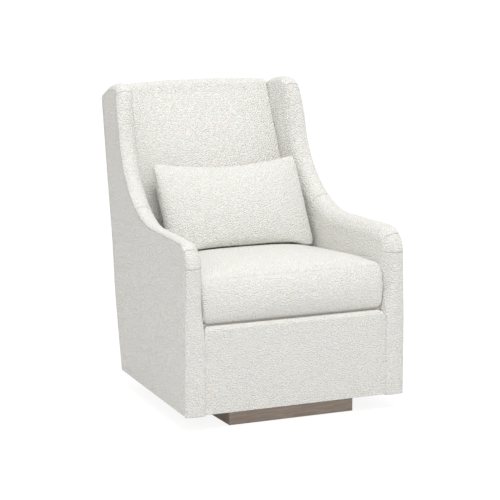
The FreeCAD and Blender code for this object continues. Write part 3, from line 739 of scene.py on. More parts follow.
BOUCLE = BoucleFinish()
LINING = LiningFinish()
OAK = {"name": "grey_oak", "light": (0.450, 0.369, 0.311, 1.0), "dark": (0.236, 0.190, 0.155, 1.0),
       "pore": (0.20, 0.16, 0.13, 1.0)}
PLY = {"name": "frame_wood", "light": (0.62, 0.47, 0.30, 1.0), "dark": (0.46, 0.33, 0.20, 1.0),
       "pore": (0.33, 0.23, 0.14, 1.0), "stretch": 16.0, "fineness": 150.0, "roughness": 0.7}
SLOT_FINISHES: dict[str, Finish] = {
    "grey_oak": WoodFinish(**OAK),
    "frame_wood": WoodFinish(**PLY),
    "black_steel": HardFinish(
        "black_steel", (0.028, 0.028, 0.029, 1.0), (0.018, 0.018, 0.019, 1.0), roughness=0.42),
    "bare_steel": HardFinish(
        "bare_steel", (0.62, 0.62, 0.61, 1.0), (0.44, 0.44, 0.45, 1.0), metallic=1.0, roughness=0.34,
        fineness=1500.0, relief_height=0.00008),
    "nylon": HardFinish("nylon", (0.74, 0.73, 0.68, 1.0), (0.66, 0.65, 0.60, 1.0), roughness=0.55),
    "stop_rubber": HardFinish(
        "stop_rubber", (0.032, 0.031, 0.030, 1.0), (0.020, 0.020, 0.020, 1.0), roughness=0.85),
}
FINISHES_ALONG_Y: dict[str, Finish] = {
    str(shades["name"]): WoodFinish(axis=GrainAxis.ALONG_Y, **shades) for shades in (OAK, PLY)}
BOARDS_ALONG_Y = ("plinth_{}_board", "{}_glide_rail", "{}_side_frame")
CLOTH = {"quality": 5, "mass": 0.3, "tension_stiffness": 25.0, "compression_stiffness": 25.0,
         "shear_stiffness": 12.0, "bending_stiffness": 4.0}


@dataclass
class Cover:
    """A soft piece that stands for one or more plain solids of the frame."""

    shape: Silhouette
    side: Side | None = None
    name: str = ""
    solids: tuple[str, ...] = ()
    body: str = "chair"
    slot: str = "boucle_fabric"
    finish: Finish = BOUCLE
    pile: LoopPile = LoopPile()
    seam_depth: float = 0.0018
    fill: float = 0.8

    def marked(self, name: str) -> str:
        """A name with the piece's side in front, where it has one."""
        return f"{self.side.name.lower()}_{name}" if self.side else name

    def shell(self) -> Shell:
        """Closed surface of the piece, before its loops."""
        raise NotImplementedError

    def build(self) -> Piece:
        """Make the piece's mesh with its seams and loops."""
        made = self.mesh(self.shell())
        self.roughen(made)
        return made

    def mesh(self, shell: Shell) -> Piece:
        """Object with a closed surface, its faces turned outwards and its seams in an attribute.

        Args:
            shell: The closed surface.

        Returns:
            The new object.
        """
        data = bpy.data.meshes.new(self.marked(self.name))
        data.from_pydata(shell.points.tolist(), [], shell.faces)
        work = bmesh.new()
        work.from_mesh(data)
        bmesh.ops.recalc_face_normals(work, faces=work.faces[:])
        work.to_mesh(data)
        work.free()
        self.sew(data, shell.seam)
        made = bpy.data.objects.new(data.name, data)
        bpy.context.scene.collection.objects.link(made)
        return made

    @staticmethod
    def sew(data: Mesh, seam: Array) -> None:
        """Write the seam share of a mesh's points to its attribute."""
        layer = data.attributes.get("seam") or data.attributes.new("seam", "FLOAT", "POINT")
        layer.data.foreach_set("value", seam.astype(np.float32))

    def roughen(self, made: Piece) -> None:
        """Move every point along its normal: up by the loops' relief, down by the depth of a seam."""
        data = made.data
        points, normals = self.arrays(data)
        seam = np.zeros(len(points), np.float32)
        data.attributes["seam"].data.foreach_get("value", seam)
        height = self.pile.relief(points) * (1.0 - seam) - self.seam_depth * seam
        data.polygons.foreach_set("use_smooth", np.ones(len(data.polygons), bool))
        self.place(data, points + normals * height[:, None])

    @staticmethod
    def place(data: Mesh, points: Array) -> None:
        """Put a mesh's points at new places."""
        data.vertices.foreach_set("co", points.astype(np.float32).reshape(-1))
        data.update()

    @staticmethod
    def arrays(data: Mesh) -> tuple[Array, Array]:
        """Points and normals of a mesh, one per row."""
        points, normals = np.zeros((2, len(data.vertices) * 3), np.float32)
        data.vertices.foreach_get("co", points)
        data.vertex_normals.foreach_get("vector", normals)
        return points.reshape(-1, 3).astype(float), normals.reshape(-1, 3).astype(float)

    def dress(self, made: Piece) -> None:
        """Give the piece its finish and body, and hide the solids that it stands for."""
        made.data.materials.append(self.finish.material())
        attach(made, self.body)
        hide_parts(*map(self.marked, self.solids))
        log.info("%s: %d points", made.name, len(made.data.vertices))


@dataclass
class ArmCover(Cover):
    """Cover of an arm and its wing: a domed band with cross seams that turns over into the inside face."""

    name: str = "arm_cover"
    solids: tuple[str, ...] = ("arm_band", "inner_arm_pad")
    outer_reach: float = 0.012
    crest_reach: float = 0.030
    crest_fall: float = 0.018
    crest_delay: float = 0.06
    inner_reach: float = 0.042
    inner_drop: float = 0.042
    least_flat: float = 0.006
    overhang: float = 0.007
    overhang_start: float = 0.78
    overhang_ease: float = 0.30
    overhang_fade: float = 0.10
    foot_reach: float = 0.010
    foot_drop: float = 0.0035
    foot_end: float = 0.22
    foot_ease: float = 0.13
    crown: float = 0.0030
    tuck: float = 0.0018
    frame_face: float = 0.034
    panel: float = 0.0098
    band: float = 0.016
    bulge: float = 0.005
    step: float = 0.0033
    inside_points: int = 130
    inside_ease: float = 0.45
    band_points: tuple[int, int, int] = (11, 10, 16)
    seams: tuple[float, ...] = (0.454, 0.516, 0.981, 1.398)
    seam_width: float = 0.0022
    seam_steps: tuple[float, ...] = (-2.5, -1.6, -1.0, -0.5, 0.0, 0.5, 1.0, 1.6, 2.5)
    seam_clear: float = 2.8
    seam_fade: float = 9.0
    far_line: tuple[Pair, ...] = ((-0.273, 0.050), (-0.273, 0.318), (0.210, 0.290))
    far_top: Pair = (0.030, 0.630)

    def stations(self, path: EdgePath) -> Array:
        """Lengths along the edge, closer together at the cross seams."""
        end, seams = path.length - self.shape.back_panel, np.array(self.seams)
        even = np.linspace(0.0, end, round(end / self.step))
        close = (seams[:, None] + np.array(self.seam_steps) * self.seam_width).reshape(-1)
        apart = np.abs(even[:, None] - seams).min(axis=1) > self.seam_clear * self.seam_width
        return np.sort(np.concatenate([even[apart], close]))

    def section(self, run: Array) -> tuple[Array, Array]:
        """Band's cross sections: two quarter ellipses joined over a low crown.

        Args:
            run: Lengths of the stations along the edge.

        Returns:
            Depth below the outer face and rise above the edge, by station and place across the band.
        """
        shape, thick, column = self.shape, self.shape.arm, run[:, None]
        drop = shape.seam_below(run)[:, None]
        crest = (drop - shape.seam_drop) / (shape.crest_drop - shape.seam_drop)
        reach = between(self.outer_reach, self.crest_reach, crest)
        soft = eased((column - self.foot_end) / self.foot_ease)
        inner = between(self.foot_reach, self.inner_reach, soft)
        inner = np.minimum(inner, thick - reach - self.least_flat)
        on_top = column - shape.crest_start - self.crest_delay
        fall = between(self.foot_drop, self.inner_drop, soft)
        fall = fall + (self.crest_fall - self.inner_drop) * eased(on_top / shape.crest_length)
        outer_count, flat_count, inner_count = self.band_points
        left_cos, left_sin = quarter(180.0, 90.0, outer_count)
        right_cos, right_sin = quarter(90.0, 0.0, inner_count)
        share = np.linspace(0.0, 1.0, flat_count)[None, 1:-1]
        flat = between(reach, thick - inner, share)
        below = beside(reach * (1.0 + left_cos), flat, thick - inner + inner * right_cos)
        rise = beside(drop * (left_sin - 1.0), 0.0 * flat, fall * (right_sin - 1.0))
        rise = rise + self.crown * (1.0 - (2.0 * below / thick - 1.0) ** 2)
        proud = self.overhang * eased((column - self.overhang_start) / self.overhang_ease)
        proud = proud * (1.0 - eased(on_top / self.overhang_fade))
        below = below - proud * np.clip(1.0 - below / thick, 0.0, 1.0) ** 2
        below[:, 0] = self.tuck
        return below, rise

    def far_points(self, run: Array, path: EdgePath) -> Array:
        """End of the inside face for each station: down the apron, along the deck and up the back."""
        line = np.array([*self.far_line, self.shape.back_point(*self.far_top)])
        length = run_lengths(line, 0)
        known = [0.0, line[1, 1] - self.shape.bottom, path.length - self.shape.back_panel]
        return read_off(np.interp(run, known, [0.0, length[1], length[-1]]), length, line)

    def shell(self) -> Shell:
        """Carry the band's section along the edge, then over the inside face and back along the frame."""
        path = self.shape.path
        run = self.stations(path)
        point, normal = path.at(run)
        below, rise = self.section(run)
        band = point[:, None] + normal[:, None] * rise[..., None]
        share = dense_ends(self.inside_points, self.inside_ease)[1:, None]
        far = self.far_points(run, path)
        inside = between(band[:, -1:], far[:, None], share)
        swell = self.shape.arm + self.bulge * np.sin(np.pi * share[:, 0]) * np.ones((len(run), 1))
        face = self.frame_face + self.tuck
        top = point + normal * (self.shape.clear - self.band)
        seam = point - normal * (self.shape.seam_below(run)[:, None] + self.shape.clear)
        hidden = [(face, far), (face, top), (self.panel, top), (self.panel, seam), (self.tuck, seam)]
        depths = [below, swell] + [np.full((len(run), 1), depth) for depth, _ in hidden]
        planes = [band, inside] + [plane[:, None] for _, plane in hidden]
        rings = self.shape.on_side(self.side, beside(*depths), beside(*planes))
        return Shell.tube(rings, self.seam_share(run, below.shape[1], rings.shape[1]))

    def seam_share(self, run: Array, band_count: int, around: int) -> Array:
        """Seam at each cross seam's station: a bell across the band, fading where it turns inside."""
        bell = np.exp(-((run[:, None] - np.array(self.seams)) / self.seam_width) ** 2).sum(axis=1)
        fade = np.zeros(around)
        to_end = np.arange(band_count) - band_count + self.seam_fade
        fade[:band_count] = 1.0 - eased(to_end / self.seam_fade)
        return bell[:, None] * fade


@dataclass
class SideCover(Cover):
    """Padded outer panel of a side, inside the band's seam."""

    name: str = "side_cover"
    solids: tuple[str, ...] = ("side_panel",)
    edge_radius: float = 0.0036
    crown: float = 0.0035
    crown_reach: float = 0.055
    thickness: float = 0.0096
    bow_power: int = 3
    columns: int = 250
    column_ease: float = 0.6
    rows: int = 230
    row_ease: float = 0.75

    def shell(self) -> Shell:
        """Straight lines from the foot to the seam, bowed at the rear, with a low crown and a rounded rim."""
        shape, path = self.shape, self.shape.path
        share = dense_ends(self.columns, self.column_ease)
        up = dense_ends(self.rows, self.row_ease)[:, None]
        start = shape.arm_top - shape.arm_radius - shape.bottom
        end = path.length - shape.back_panel
        run = between(start, end, share)
        point, normal = path.at(run)
        top = point - normal * (shape.seam_below(run)[:, None] - shape.clear)
        rear = shape.rear_point(-shape.back_panel, np.zeros(1))[0]
        foot = np.full_like(share, shape.bottom + shape.clear)
        bottom = np.stack([between(top[0, 0], rear[0], share), foot], axis=-1)
        plane = between(bottom, top, up[..., None])
        bow = hump(shape.rear_bulge, up) * share ** self.bow_power
        plane = plane + bow[..., None] * np.array([math.cos(shape.rear_lean), -math.sin(shape.rear_lean)])
        distance = edge_distance(plane)
        swell = self.crown * (1.0 - np.exp(-distance / self.crown_reach))
        below = rounded_drop(distance, self.edge_radius) - swell
        rim = Shell.rim(plane)
        back = shape.on_side(self.side, np.full(len(rim), self.thickness), rim)
        return Shell.panel(shape.on_side(self.side, below, plane), back)


@dataclass
class InsideBack(Cover):
    """Crowned inside back that turns over the top rail between the wings."""

    name: str = "inside_back_cover"
    solids: tuple[str, ...] = ("inside_back_pad", "back_top_roll")
    crown: float = 0.034
    end_share: float = 0.25
    fullness: float = 2.6
    front_rise: float = 0.0490
    rear_rise: float = 0.0390
    arch: float = 0.0065
    top_crown: float = 0.008
    depth: float = 0.0555
    pad: float = 0.030
    front_radius: float = 0.028
    rear_radius: float = 0.014
    edge_radius: float = 0.010
    tuck: Pair = (0.010, 0.016)
    stations: int = 170
    station_ease: float = 0.7
    front_points: int = 210
    front_ease: float = 0.35
    top_points: int = 14
    rear_points: int = 8

    def shell(self) -> Shell:
        """Carry a section across: crowned front, round top, short rear, drawn in where it meets the wings."""
        shape = self.shape
        across = both_ways(self.stations, self.station_ease)[:, None]
        middle, ones = 1.0 - across ** 2, np.ones_like(across)
        full = 1.0 - np.abs(across) ** self.fullness
        length = shape.back_length
        front_top = length + self.front_rise + self.arch * middle
        rear_top = length + self.rear_rise + self.arch * middle
        tuck_depth, tuck = self.tuck
        share = dense_ends(self.front_points, self.front_ease)[None]
        front_up = share * (front_top - self.front_radius + tuck) - tuck
        bow = 1.0 - (1.0 - self.end_share) * np.clip(2.0 * front_up / length - 1.0, -1.0, 1.0) ** 2
        front = -self.crown * bow * full
        cosine, sine = (wave[1:] for wave in quarter(180.0, 90.0, self.top_points))
        corner = front[:, -1:] + self.front_radius * (1.0 + cosine)
        corner_up = front_top - self.front_radius * (1.0 - sine)
        over = np.linspace(0.0, 1.0, self.top_points)[None, 1:]
        end = self.depth - self.rear_radius
        top = between(corner[:, -1:], end, over)
        top_up = between(front_top, rear_top, over) + hump(self.top_crown, over)
        rear_cos, rear_sin = (wave[1:] for wave in quarter(90.0, 0.0, self.rear_points))
        rear = end + self.rear_radius * rear_cos[None] + 0.0 * across
        rear_up = rear_top - self.rear_radius * (1.0 - rear_sin)
        outward = np.concatenate([
            np.repeat([[-1.0, 0.0]], front.shape[1], axis=0), np.stack([cosine, sine], axis=1),
            np.repeat([[0.0, 1.0]], top.shape[1], axis=0), np.stack([rear_cos, rear_sin], axis=1)])
        half = shape.half_width(shape.back[0], shape.arm)
        drop = rounded_drop((1.0 - np.abs(across)) * half, self.edge_radius)
        behind = beside(front, corner, top, rear) - drop * outward[:, 0]
        up = beside(front_up, corner_up, top_up, rear_up) - drop * outward[:, 1]
        under = length + shape.clear
        hidden = np.array([(self.depth, under), (self.pad, under), (self.pad, 0.0), (tuck_depth, -tuck)])
        plane = shape.back_point(beside(behind, ones * hidden[:, 0]), beside(up, ones * hidden[:, 1]))
        return Shell.carried(across * shape.half_width(plane[..., 0], shape.arm + shape.clear), plane)


@dataclass
class OutsideBack(Cover):
    """Padded rear of the chair, a little bowed both ways."""

    name: str = "outside_back_cover"
    solids: tuple[str, ...] = ("outside_back_panel",)
    crown: float = 0.006
    thickness: float = 0.0115
    edge_radius: float = 0.005
    corner_radius: float = 0.020
    columns: int = 180
    column_ease: float = 0.7
    rows: int = 250
    row_ease: float = 0.75

    def shell(self) -> Shell:
        """Carry a section up the rear plane: a low crown with rounded edges behind, a line in front."""
        shape = self.shape
        share = dense_ends(self.rows, self.row_ease)[:, None]
        across = both_ways(self.columns, self.column_ease)[None]
        flat = shape.rear_point(np.zeros_like(share), share)
        half = shape.half_width(flat[..., 0], 0.0) + shape.fullness(flat[..., 1])
        half = half - rounded_drop(shape.rear_top[1] - flat[..., 1], self.corner_radius)
        grid = np.stack([across * half, flat[..., 0] + 0.0 * across, flat[..., 1] + 0.0 * across], axis=-1)
        swell = self.crown * np.sin(np.pi * share) * (1.0 - across ** 2)
        outward = swell - rounded_drop(edge_distance(grid), self.edge_radius)
        inner = np.full((self.rows, 2), -self.thickness)
        plane = shape.rear_point(beside(outward, inner), share)
        return Shell.carried(beside(across, [[1.0, -1.0]]) * half, plane)


@dataclass
class Apron(Cover):
    """Padded front below the cushion, with a rounded top edge and rounded upper corners."""

    name: str = "front_apron_cover"
    solids: tuple[str, ...] = ("front_apron",)
    face: float = -0.315
    foot: float = 0.0515
    top: float = 0.3225
    rear: float = -0.2875
    edge_radius: float = 0.014
    side_radius: float = 0.0015
    corner_radius: float = 0.022
    crown: float = 0.002
    stations: int = 190
    station_ease: float = 0.8
    face_points: int = 90
    face_ease: float = 0.6
    edge_points: int = 10

    def shell(self) -> Shell:
        """Carry a section across: low crowned front, round top edge, lower at both upper corners."""
        inset = self.shape.arm + self.shape.clear
        across = both_ways(self.stations, self.station_ease)[:, None]
        distance = (1.0 - np.abs(across)) * self.shape.half_width(self.face, inset)
        top = self.top - rounded_drop(distance, self.corner_radius)
        share = dense_ends(self.face_points, self.face_ease)[None]
        height = self.foot + share * (top - self.edge_radius - self.foot)
        front = self.face - self.crown * np.sin(np.pi * share) * (1.0 - across ** 2)
        cosine, sine = quarter(180.0, 90.0, self.edge_points)
        corner = self.face + self.edge_radius * (1.0 + cosine[None, 1:]) + 0.0 * across
        corner_up = top - self.edge_radius * (1.0 - sine[1:])
        depth = beside(front, corner) + rounded_drop(distance, self.side_radius)
        ones = np.ones_like(across)
        depth = beside(depth, ones * self.rear, ones * self.rear)
        up = beside(height, corner_up, top, ones * self.foot)
        return Shell.carried(across * self.shape.half_width(depth, inset), np.stack([depth, up], axis=-1))


@dataclass
class DeckCover(Cover):
    """Lined deck under the seat cushion, slack between its rails."""

    name: str = "seat_deck_cover"
    solids: tuple[str, ...] = ("seat_deck",)
    slot: str = "deck_cloth"
    finish: Finish = LINING
    pile: LoopPile = LoopPile(height=0.00008)
    length: float = 0.535
    thickness: float = 0.014
    slack: float = 0.005
    stations: int = 60
    ease: float = 0.5

    def shell(self) -> Shell:
        """Carry a section across: a top that sags by a sine both ways over a flat underside."""
        across = both_ways(self.stations, self.ease)[:, None]
        back = self.length * dense_ends(self.stations, self.ease)[None] + 0.0 * across
        sag = self.slack * np.sin(np.pi * back / self.length) * (1.0 - across ** 2)
        ends = beside(0.0 * across + self.length, 0.0 * across)
        up = beside(-sag, 0.0 * ends - self.thickness)
        plane = self.shape.deck_point(beside(back, ends), up)
        inset = self.shape.arm + 2.0 * self.shape.clear
        return Shell.carried(across * self.shape.half_width(plane[..., 0], inset), plane)


@dataclass
class StuffedCover(Cover):
    """A loose cushion that is blown up a little as cloth before its seams are sewn."""

    voxel: float = 0.0065
    pressure: float = 0.3
    frames: int = 20
    cap: float = 0.006
    start_inset: float = 0.0015
    least_move: float = 1e-9

    def build(self) -> Piece:
        """Remesh the plain form, blow it up as cloth, subdivide it, then sew it and raise its loops."""
        made = self.mesh(self.shell())
        even = made.modifiers.new("even", "REMESH")
        even.mode, even.voxel_size = "VOXEL", self.voxel
        self.apply(made)
        self.inflate(made)
        fine = made.modifiers.new("fine", "SUBSURF")
        fine.levels = fine.render_levels = 1
        self.apply(made)
        points, _ = self.arrays(made.data)
        self.sew(made.data, self.sewn(points))
        self.roughen(made)
        return made

    def sewn(self, points: Array) -> Array:
        """Seam share of each point: none on a plain piece."""
        return np.zeros(len(points))

    @staticmethod
    def apply(made: Piece) -> None:
        """Put the result of the piece's modifiers into its mesh."""
        graph = bpy.context.evaluated_depsgraph_get()
        result = bpy.data.meshes.new_from_object(made.evaluated_get(graph))
        made.modifiers.clear()
        old = made.data
        made.data = result
        bpy.data.meshes.remove(old)
        result.name = made.name

    def inflate(self, made: Piece) -> None:
        """Blow the mesh up as cloth without gravity and hold each point within the cap of its start."""
        start, normals = self.arrays(made.data)
        self.place(made.data, start - normals * self.start_inset)
        cloth = made.modifiers.new("cloth", "CLOTH")
        cloth.settings.use_pressure = True
        cloth.settings.uniform_pressure_force = self.pressure
        cloth.settings.effector_weights.gravity = 0.0
        for name, value in CLOTH.items():
            setattr(cloth.settings, name, value)
        cloth.collision_settings.use_collision = False
        cloth.point_cache.frame_end = self.frames
        scene = bpy.context.scene
        for number in range(1, self.frames + 1):
            scene.frame_set(number)
        self.apply(made)
        scene.frame_set(1)
        blown, _ = self.arrays(made.data)
        move = blown - start
        far = np.linalg.norm(move, axis=1, keepdims=True)
        log.info("%s: cloth moved %.1f mm at most", made.name, 1000.0 * float(far.max()))
        self.place(made.data, start + move * np.minimum(1.0, self.cap / np.maximum(far, self.least_move)))


@dataclass
class SeatCushion(StuffedCover):
    """Loose boxed seat cushion: crowned top, full front and corners, and a plain sewn top edge."""

    name: str = "seat_cushion_cover"
    solids: tuple[str, ...] = ("seat_cushion",)
    body: str = "seat_cushion"
    fill: float = 0.9
    front: float = -0.003
    rear: float = 0.458
    rear_lean: float = math.radians(16.0)
    side_gap: float = 0.0015
    height: float = 0.137
    arch: float = 0.003
    crown: float = 0.034
    edge_crown: float = 0.008
    shoulder: float = 0.130
    front_bulge: float = 0.026
    corner_bulge: float = 0.55
    top_radius: float = 0.018
    foot_radius: float = 0.020
    side_radius: float = 0.018
    front_sag: float = 0.009
    foot_forward: float = 0.010
    sag_reach: float = 0.060
    ear: float = 0.010
    ear_reach: float = 0.075
    lift: float = 0.0004
    seam_width: float = 0.0026
    seam_share: float = 0.3
    seam_level: float = 0.35
    wall_share: float = 0.6
    crown_power: int = 4
    level_power: int = 3
    bulge_power: int = 6
    stations: int = 120
    station_ease: float = 0.85
    section_points: int = 260
    corner_points: int = 10

    def half_width(self, depth: Array) -> Array:
        """Half of the cushion's width at a depth."""
        return self.shape.half_width(depth, self.shape.arm + self.side_gap)

    def shell(self) -> Shell:
        """Carry a rounded box section across, with a crown that falls to the front, rear and sides."""
        across = both_ways(self.stations, self.station_ease)[:, None]
        middle = 1.0 - across ** 2
        drop = rounded_drop((1.0 - np.abs(across)) * self.half_width(0.0), self.side_radius)
        loop, corners = self.section()
        level = np.clip(loop[:, 1] / self.height, 0.0, 1.0)
        back_share = np.clip((loop[:, 0] - self.front) / (self.rear - self.front), 0.0, 1.0)
        back = loop[:, 0] + math.tan(self.rear_lean) * loop[:, 1] * back_share
        length = self.rear - self.front + math.tan(self.rear_lean) * self.height
        from_middle = np.abs(back - self.front - length / 2.0)
        fall = np.clip((from_middle - length / 2.0 + self.shoulder) / self.shoulder, 0.0, 1.0) ** 2
        crown = between(self.edge_crown, self.crown, 1.0 - across ** self.crown_power)
        up = loop[:, 1] + (self.arch * middle + crown * (1.0 - fall)) * level ** self.level_power
        bulge = self.front_bulge * between(self.corner_bulge, 1.0, middle)
        bulge = bulge * np.sin(np.pi * level) * (1.0 - back_share) ** self.bulge_power
        slump = (1.0 - level) ** 2 * (1.0 - eased((loop[:, 0] - self.front) / self.sag_reach))
        back = back - bulge - self.foot_forward * slump + drop * corners[:, 0]
        up = up + drop * corners[:, 1] + self.lift - self.front_sag * slump
        plane = self.shape.deck_point(back, up)
        ear = self.ear * level * (1.0 - eased((loop[:, 0] - self.front) / self.ear_reach))
        return Shell.carried(across * (self.half_width(plane[..., 0]) + ear), plane)

    def section(self) -> tuple[Array, Array]:
        """Points round a box with rounded corners, and the inward direction at each point.

        Returns:
            Distances back and up from the deck's front edge, and the directions.
        """
        low, high = self.foot_radius, self.top_radius
        top = self.height - high
        rounds = [
            (self.front + low, low, low, 180.0), (self.rear - low, low, low, 270.0),
            (self.rear - high, top, high, 0.0), (self.front + high, top, high, 90.0)]
        points, inwards = [], []
        for back, up, radius, start in rounds:
            cosine, sine = quarter(start, start + 90.0, self.corner_points)
            points.append(np.stack([back + radius * cosine, up + radius * sine], axis=1))
            inwards.append(-np.stack([cosine, sine], axis=1))
        loop, directions = (np.concatenate([*lines, lines[0][:1]]) for lines in (points, inwards))
        run = run_lengths(loop, 0)
        even = np.linspace(0.0, run[-1], self.section_points + 1)[:-1]
        return read_off(even, run, loop), read_off(even, run, directions)

    def sewn(self, points: Array) -> Array:
        """Top seam: a bell about the line where the boxing meets the top, on the front and the sides."""
        depth, height = points[:, 1] - self.shape.deck[0], points[:, 2] - self.shape.deck[1]
        cosine, sine = math.cos(self.shape.rake), math.sin(self.shape.rake)
        back, up = depth * cosine - height * sine, depth * sine + height * cosine
        half = self.half_width(points[:, 1])
        across = np.clip(points[:, 0] / half, -1.0, 1.0)
        line = self.height - self.seam_level * self.top_radius + self.arch * (1.0 - across ** 2)
        inwards = np.minimum(back - self.front, (1.0 - np.abs(across)) * half)
        on_wall = inwards < self.wall_share * self.top_radius
        return self.seam_share * np.exp(-((up - line) / self.seam_width) ** 2) * on_wall


@dataclass
class LumbarPillow(StuffedCover):
    """Loose pillow with rounded corners, drawn in along its top and pressed flat on the cushion."""

    name: str = "lumbar_pillow_cover"
    solids: tuple[str, ...] = ("lumbar_pillow",)
    body: str = "lumbar_pillow"
    fill: float = 0.85
    voxel: float = 0.0055
    pressure: float = 0.7
    width: float = 0.516
    height: float = 0.330
    thickness: float = 0.130
    edge: float = 0.012
    belly: float = 1.18
    draw_top: float = 0.026
    draw_side: float = 0.003
    corner: float = 0.018
    foot_corner: float = 0.045
    offset: float = 0.012
    sink: float = 0.024
    rest: Pair = (0.1209, 0.4797)
    lean: float = math.radians(31.7)
    press: float = 0.004
    droop: float = 0.017
    droop_power: int = 4
    root: float = 0.5
    stations: int = 110
    rows: int = 80
    ease: float = 0.6

    def shell(self) -> Shell:
        """Carry a lens section across: thickness falls as a root to all edges, which bow in and round off."""
        across = both_ways(self.stations, self.ease)[:, None]
        share = both_ways(self.rows, self.ease)[None]
        full = ((1.0 - across ** 2) ** self.root) * ((1.0 - share ** 2) ** self.root)
        half = between(self.edge, self.thickness, full) / 2.0
        from_end = (1.0 - np.abs(share)) * self.height / 2.0
        head, foot = (rounded_drop(from_end, radius) for radius in (self.corner, self.foot_corner))
        half_width = self.width / 2.0 - self.draw_side * (1.0 - share ** 2)
        x = across * (half_width - np.where(share > 0.0, head, foot))
        up = (self.height - self.draw_top * (1.0 - across ** 2)) * (share + 1.0) / 2.0
        behind = beside(-self.belly * half, half[:, ::-1])
        up = beside(up, up[:, ::-1]) - self.sink
        x = beside(x, x[:, ::-1]) + self.offset
        plane = self.shape.tilted(self.rest, self.lean, behind, up)
        hang = self.droop * across ** self.droop_power
        low = np.clip(1.0 - up / self.height, 0.0, 1.0)
        plane[..., 1] = self.pressed(plane[..., 0], plane[..., 1] - hang * low, hang)
        return Shell.carried(x, plane)

    def pressed(self, depth: Array, height: Array, hang: Array) -> Array:
        """Heights held above the raked cushion by a soft maximum of the height and the cushion's top.

        Args:
            depth: Depths of the points.
            height: Their heights.
            hang: How far the cushion's top has fallen there towards its sides.

        Returns:
            The heights, nowhere below the cushion's top.
        """
        floor = self.rest[1] - (depth - self.rest[0]) * math.tan(self.shape.rake) - hang
        return floor + self.press * np.logaddexp(0.0, (height - floor) / self.press)


@dataclass
class BareParts:
    """Wood, metal, nylon and rubber solids that show as they are built."""

    along_y: set[str] = field(default_factory=lambda: {
        board.format(side.name.lower()) for board in BOARDS_ALONG_Y for side in Side})

    def dress(self) -> None:
        """Give every carried-over solid the finish of its slot, with the grain along each board."""
        for row in frame["record"]["subparts"]:
            node, slot = row["node"], row["material_slot"]
            if slot not in SLOT_FINISHES:
                continue
            finish = (FINISHES_ALONG_Y if node in self.along_y else SLOT_FINISHES)[slot]
            solid = frame["nodes"][node]
            solid.data.materials.clear()
            solid.data.materials.append(finish.material())
            log.info("%s: %s", node, finish.title())


@dataclass(frozen=True)
class Lamp:
    """A square soft lamp."""

    name: str
    place: Triple
    aim: Triple
    side: float
    power: float

    def hang(self) -> None:
        """Hang the lamp and turn it to its aim."""
        data = bpy.data.lights.new(self.name, "AREA")
        data.size, data.energy = self.side, self.power
        made = bpy.data.objects.new(self.name, data)
        made.location = self.place
        way = Vector(self.aim) - Vector(self.place)
        made.rotation_euler = way.to_track_quat("-Z", "Y").to_euler()
        bpy.context.scene.collection.objects.link(made)


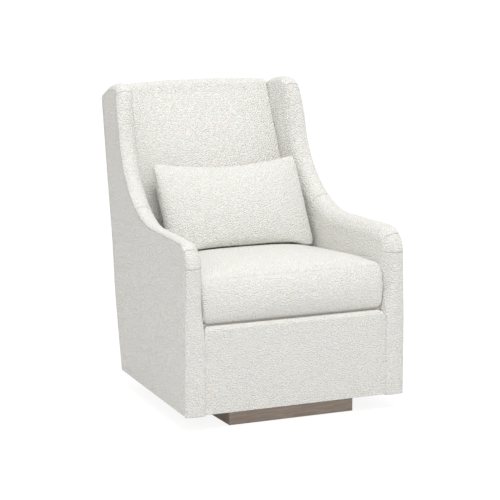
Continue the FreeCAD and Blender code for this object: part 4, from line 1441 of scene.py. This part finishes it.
@dataclass
class Studio:
    """Plain pale floor, soft lamps and the camera."""

    aim: Triple = (0.001, 0.04, 0.478)
    azimuth: float = math.radians(-24.32)
    elevation: float = math.radians(10.52)
    distance: float = 6.5
    lens: float = 145.58
    sensor: float = 36.0
    sky: float = 0.80
    floor_half: float = 40.0
    floor_grey: float = 0.80
    floor_glow: float = 0.90
    floor_faint: float = 0.17
    lamps: tuple[Lamp, ...] = (Lamp("key_lamp", (-0.5, -1.9, 4.20), (0.0, 0.0, 0.45), 2.0, 93.0),)

    def build(self) -> None:
        """Make the floor, the sky, the lamps and the camera."""
        self.lay_floor()
        self.paint_sky()
        for lamp in self.lamps:
            lamp.hang()
        self.aim_camera()
        bpy.context.scene.view_settings.view_transform = "Standard"

    @staticmethod
    def shown_or_lit(wiring: Wiring, lit: Node, shown: Node) -> Socket:
        """One shader for light, and another for rays from the camera, a mirror or glass."""
        rays = wiring.add("ShaderNodeLightPath").outputs
        seen = wiring.math("MAXIMUM", rays["Is Camera Ray"], rays["Is Glossy Ray"])
        seen = wiring.math("MAXIMUM", seen, rays["Is Transmission Ray"])
        return wiring.add("ShaderNodeMixShader", {0: seen, 1: lit.outputs[0], 2: shown.outputs[0]}).outputs[0]

    def lay_floor(self) -> None:
        """White floor that keeps a soft shadow: part plain white, part lit."""
        half = self.floor_half
        corners = [(-half, -half, 0.0), (half, -half, 0.0), (half, half, 0.0), (-half, half, 0.0)]
        data = bpy.data.meshes.new("floor")
        data.from_pydata(corners, [], [(0, 1, 2, 3)])
        floor = bpy.data.objects.new("floor", data)
        bpy.context.scene.collection.objects.link(floor)
        paper = bpy.data.materials.new("floor_paper")
        paper.use_nodes = True
        wiring = Wiring(paper.node_tree)
        lit, faint = (wiring.add("ShaderNodeBsdfDiffuse", {"Color": (grey, grey, grey, 1.0)})
                      for grey in (self.floor_grey, self.floor_faint))
        plain = wiring.add("ShaderNodeEmission", {"Color": WHITE, "Strength": self.floor_glow})
        shown = wiring.add("ShaderNodeAddShader", {0: faint.outputs[0], 1: plain.outputs[0]})
        wiring.add("ShaderNodeOutputMaterial", {"Surface": self.shown_or_lit(wiring, lit, shown)})
        data.materials.append(paper)

    def paint_sky(self) -> None:
        """Even soft light from all round, seen as plain white."""
        world = bpy.data.worlds.new("soft_white")
        bpy.context.scene.world = world
        world.use_nodes = True
        wiring = Wiring(world.node_tree)
        light, white = (wiring.add("ShaderNodeBackground", {"Color": WHITE, "Strength": strength})
                        for strength in (self.sky, 1.0))
        wiring.add("ShaderNodeOutputWorld", {"Surface": self.shown_or_lit(wiring, light, white)})

    def aim_camera(self) -> None:
        """Stand the camera where the picture was taken."""
        flat = math.cos(self.elevation)
        back = Vector((
            math.sin(self.azimuth) * flat, -math.cos(self.azimuth) * flat, math.sin(self.elevation)))
        data = bpy.data.cameras.new("camera")
        data.lens, data.sensor_width = self.lens, self.sensor
        made = bpy.data.objects.new("camera", data)
        bpy.context.scene.collection.objects.link(made)
        right = Vector((0.0, 0.0, 1.0)).cross(back).normalized()
        turn = Matrix((right, back.cross(right), back)).transposed().to_4x4()
        made.matrix_world = Matrix.Translation(Vector(self.aim) + self.distance * back) @ turn
        bpy.context.scene.camera = made


def main() -> None:
    """Build and dress the chair and its studio."""
    logging.basicConfig(level=logging.INFO, format="%(message)s")
    Studio().build()
    BareParts().dress()
    shape = Silhouette()
    covers: list[Cover] = [kind(shape, side=side) for side in Side for kind in (ArmCover, SideCover)]
    covers += [kind(shape) for kind in (InsideBack, OutsideBack, Apron, DeckCover, SeatCushion, LumbarPillow)]
    for cover in covers:
        cover.dress(cover.build())
    bpy.context.view_layer.update()


if __name__ == "__main__":
    main()
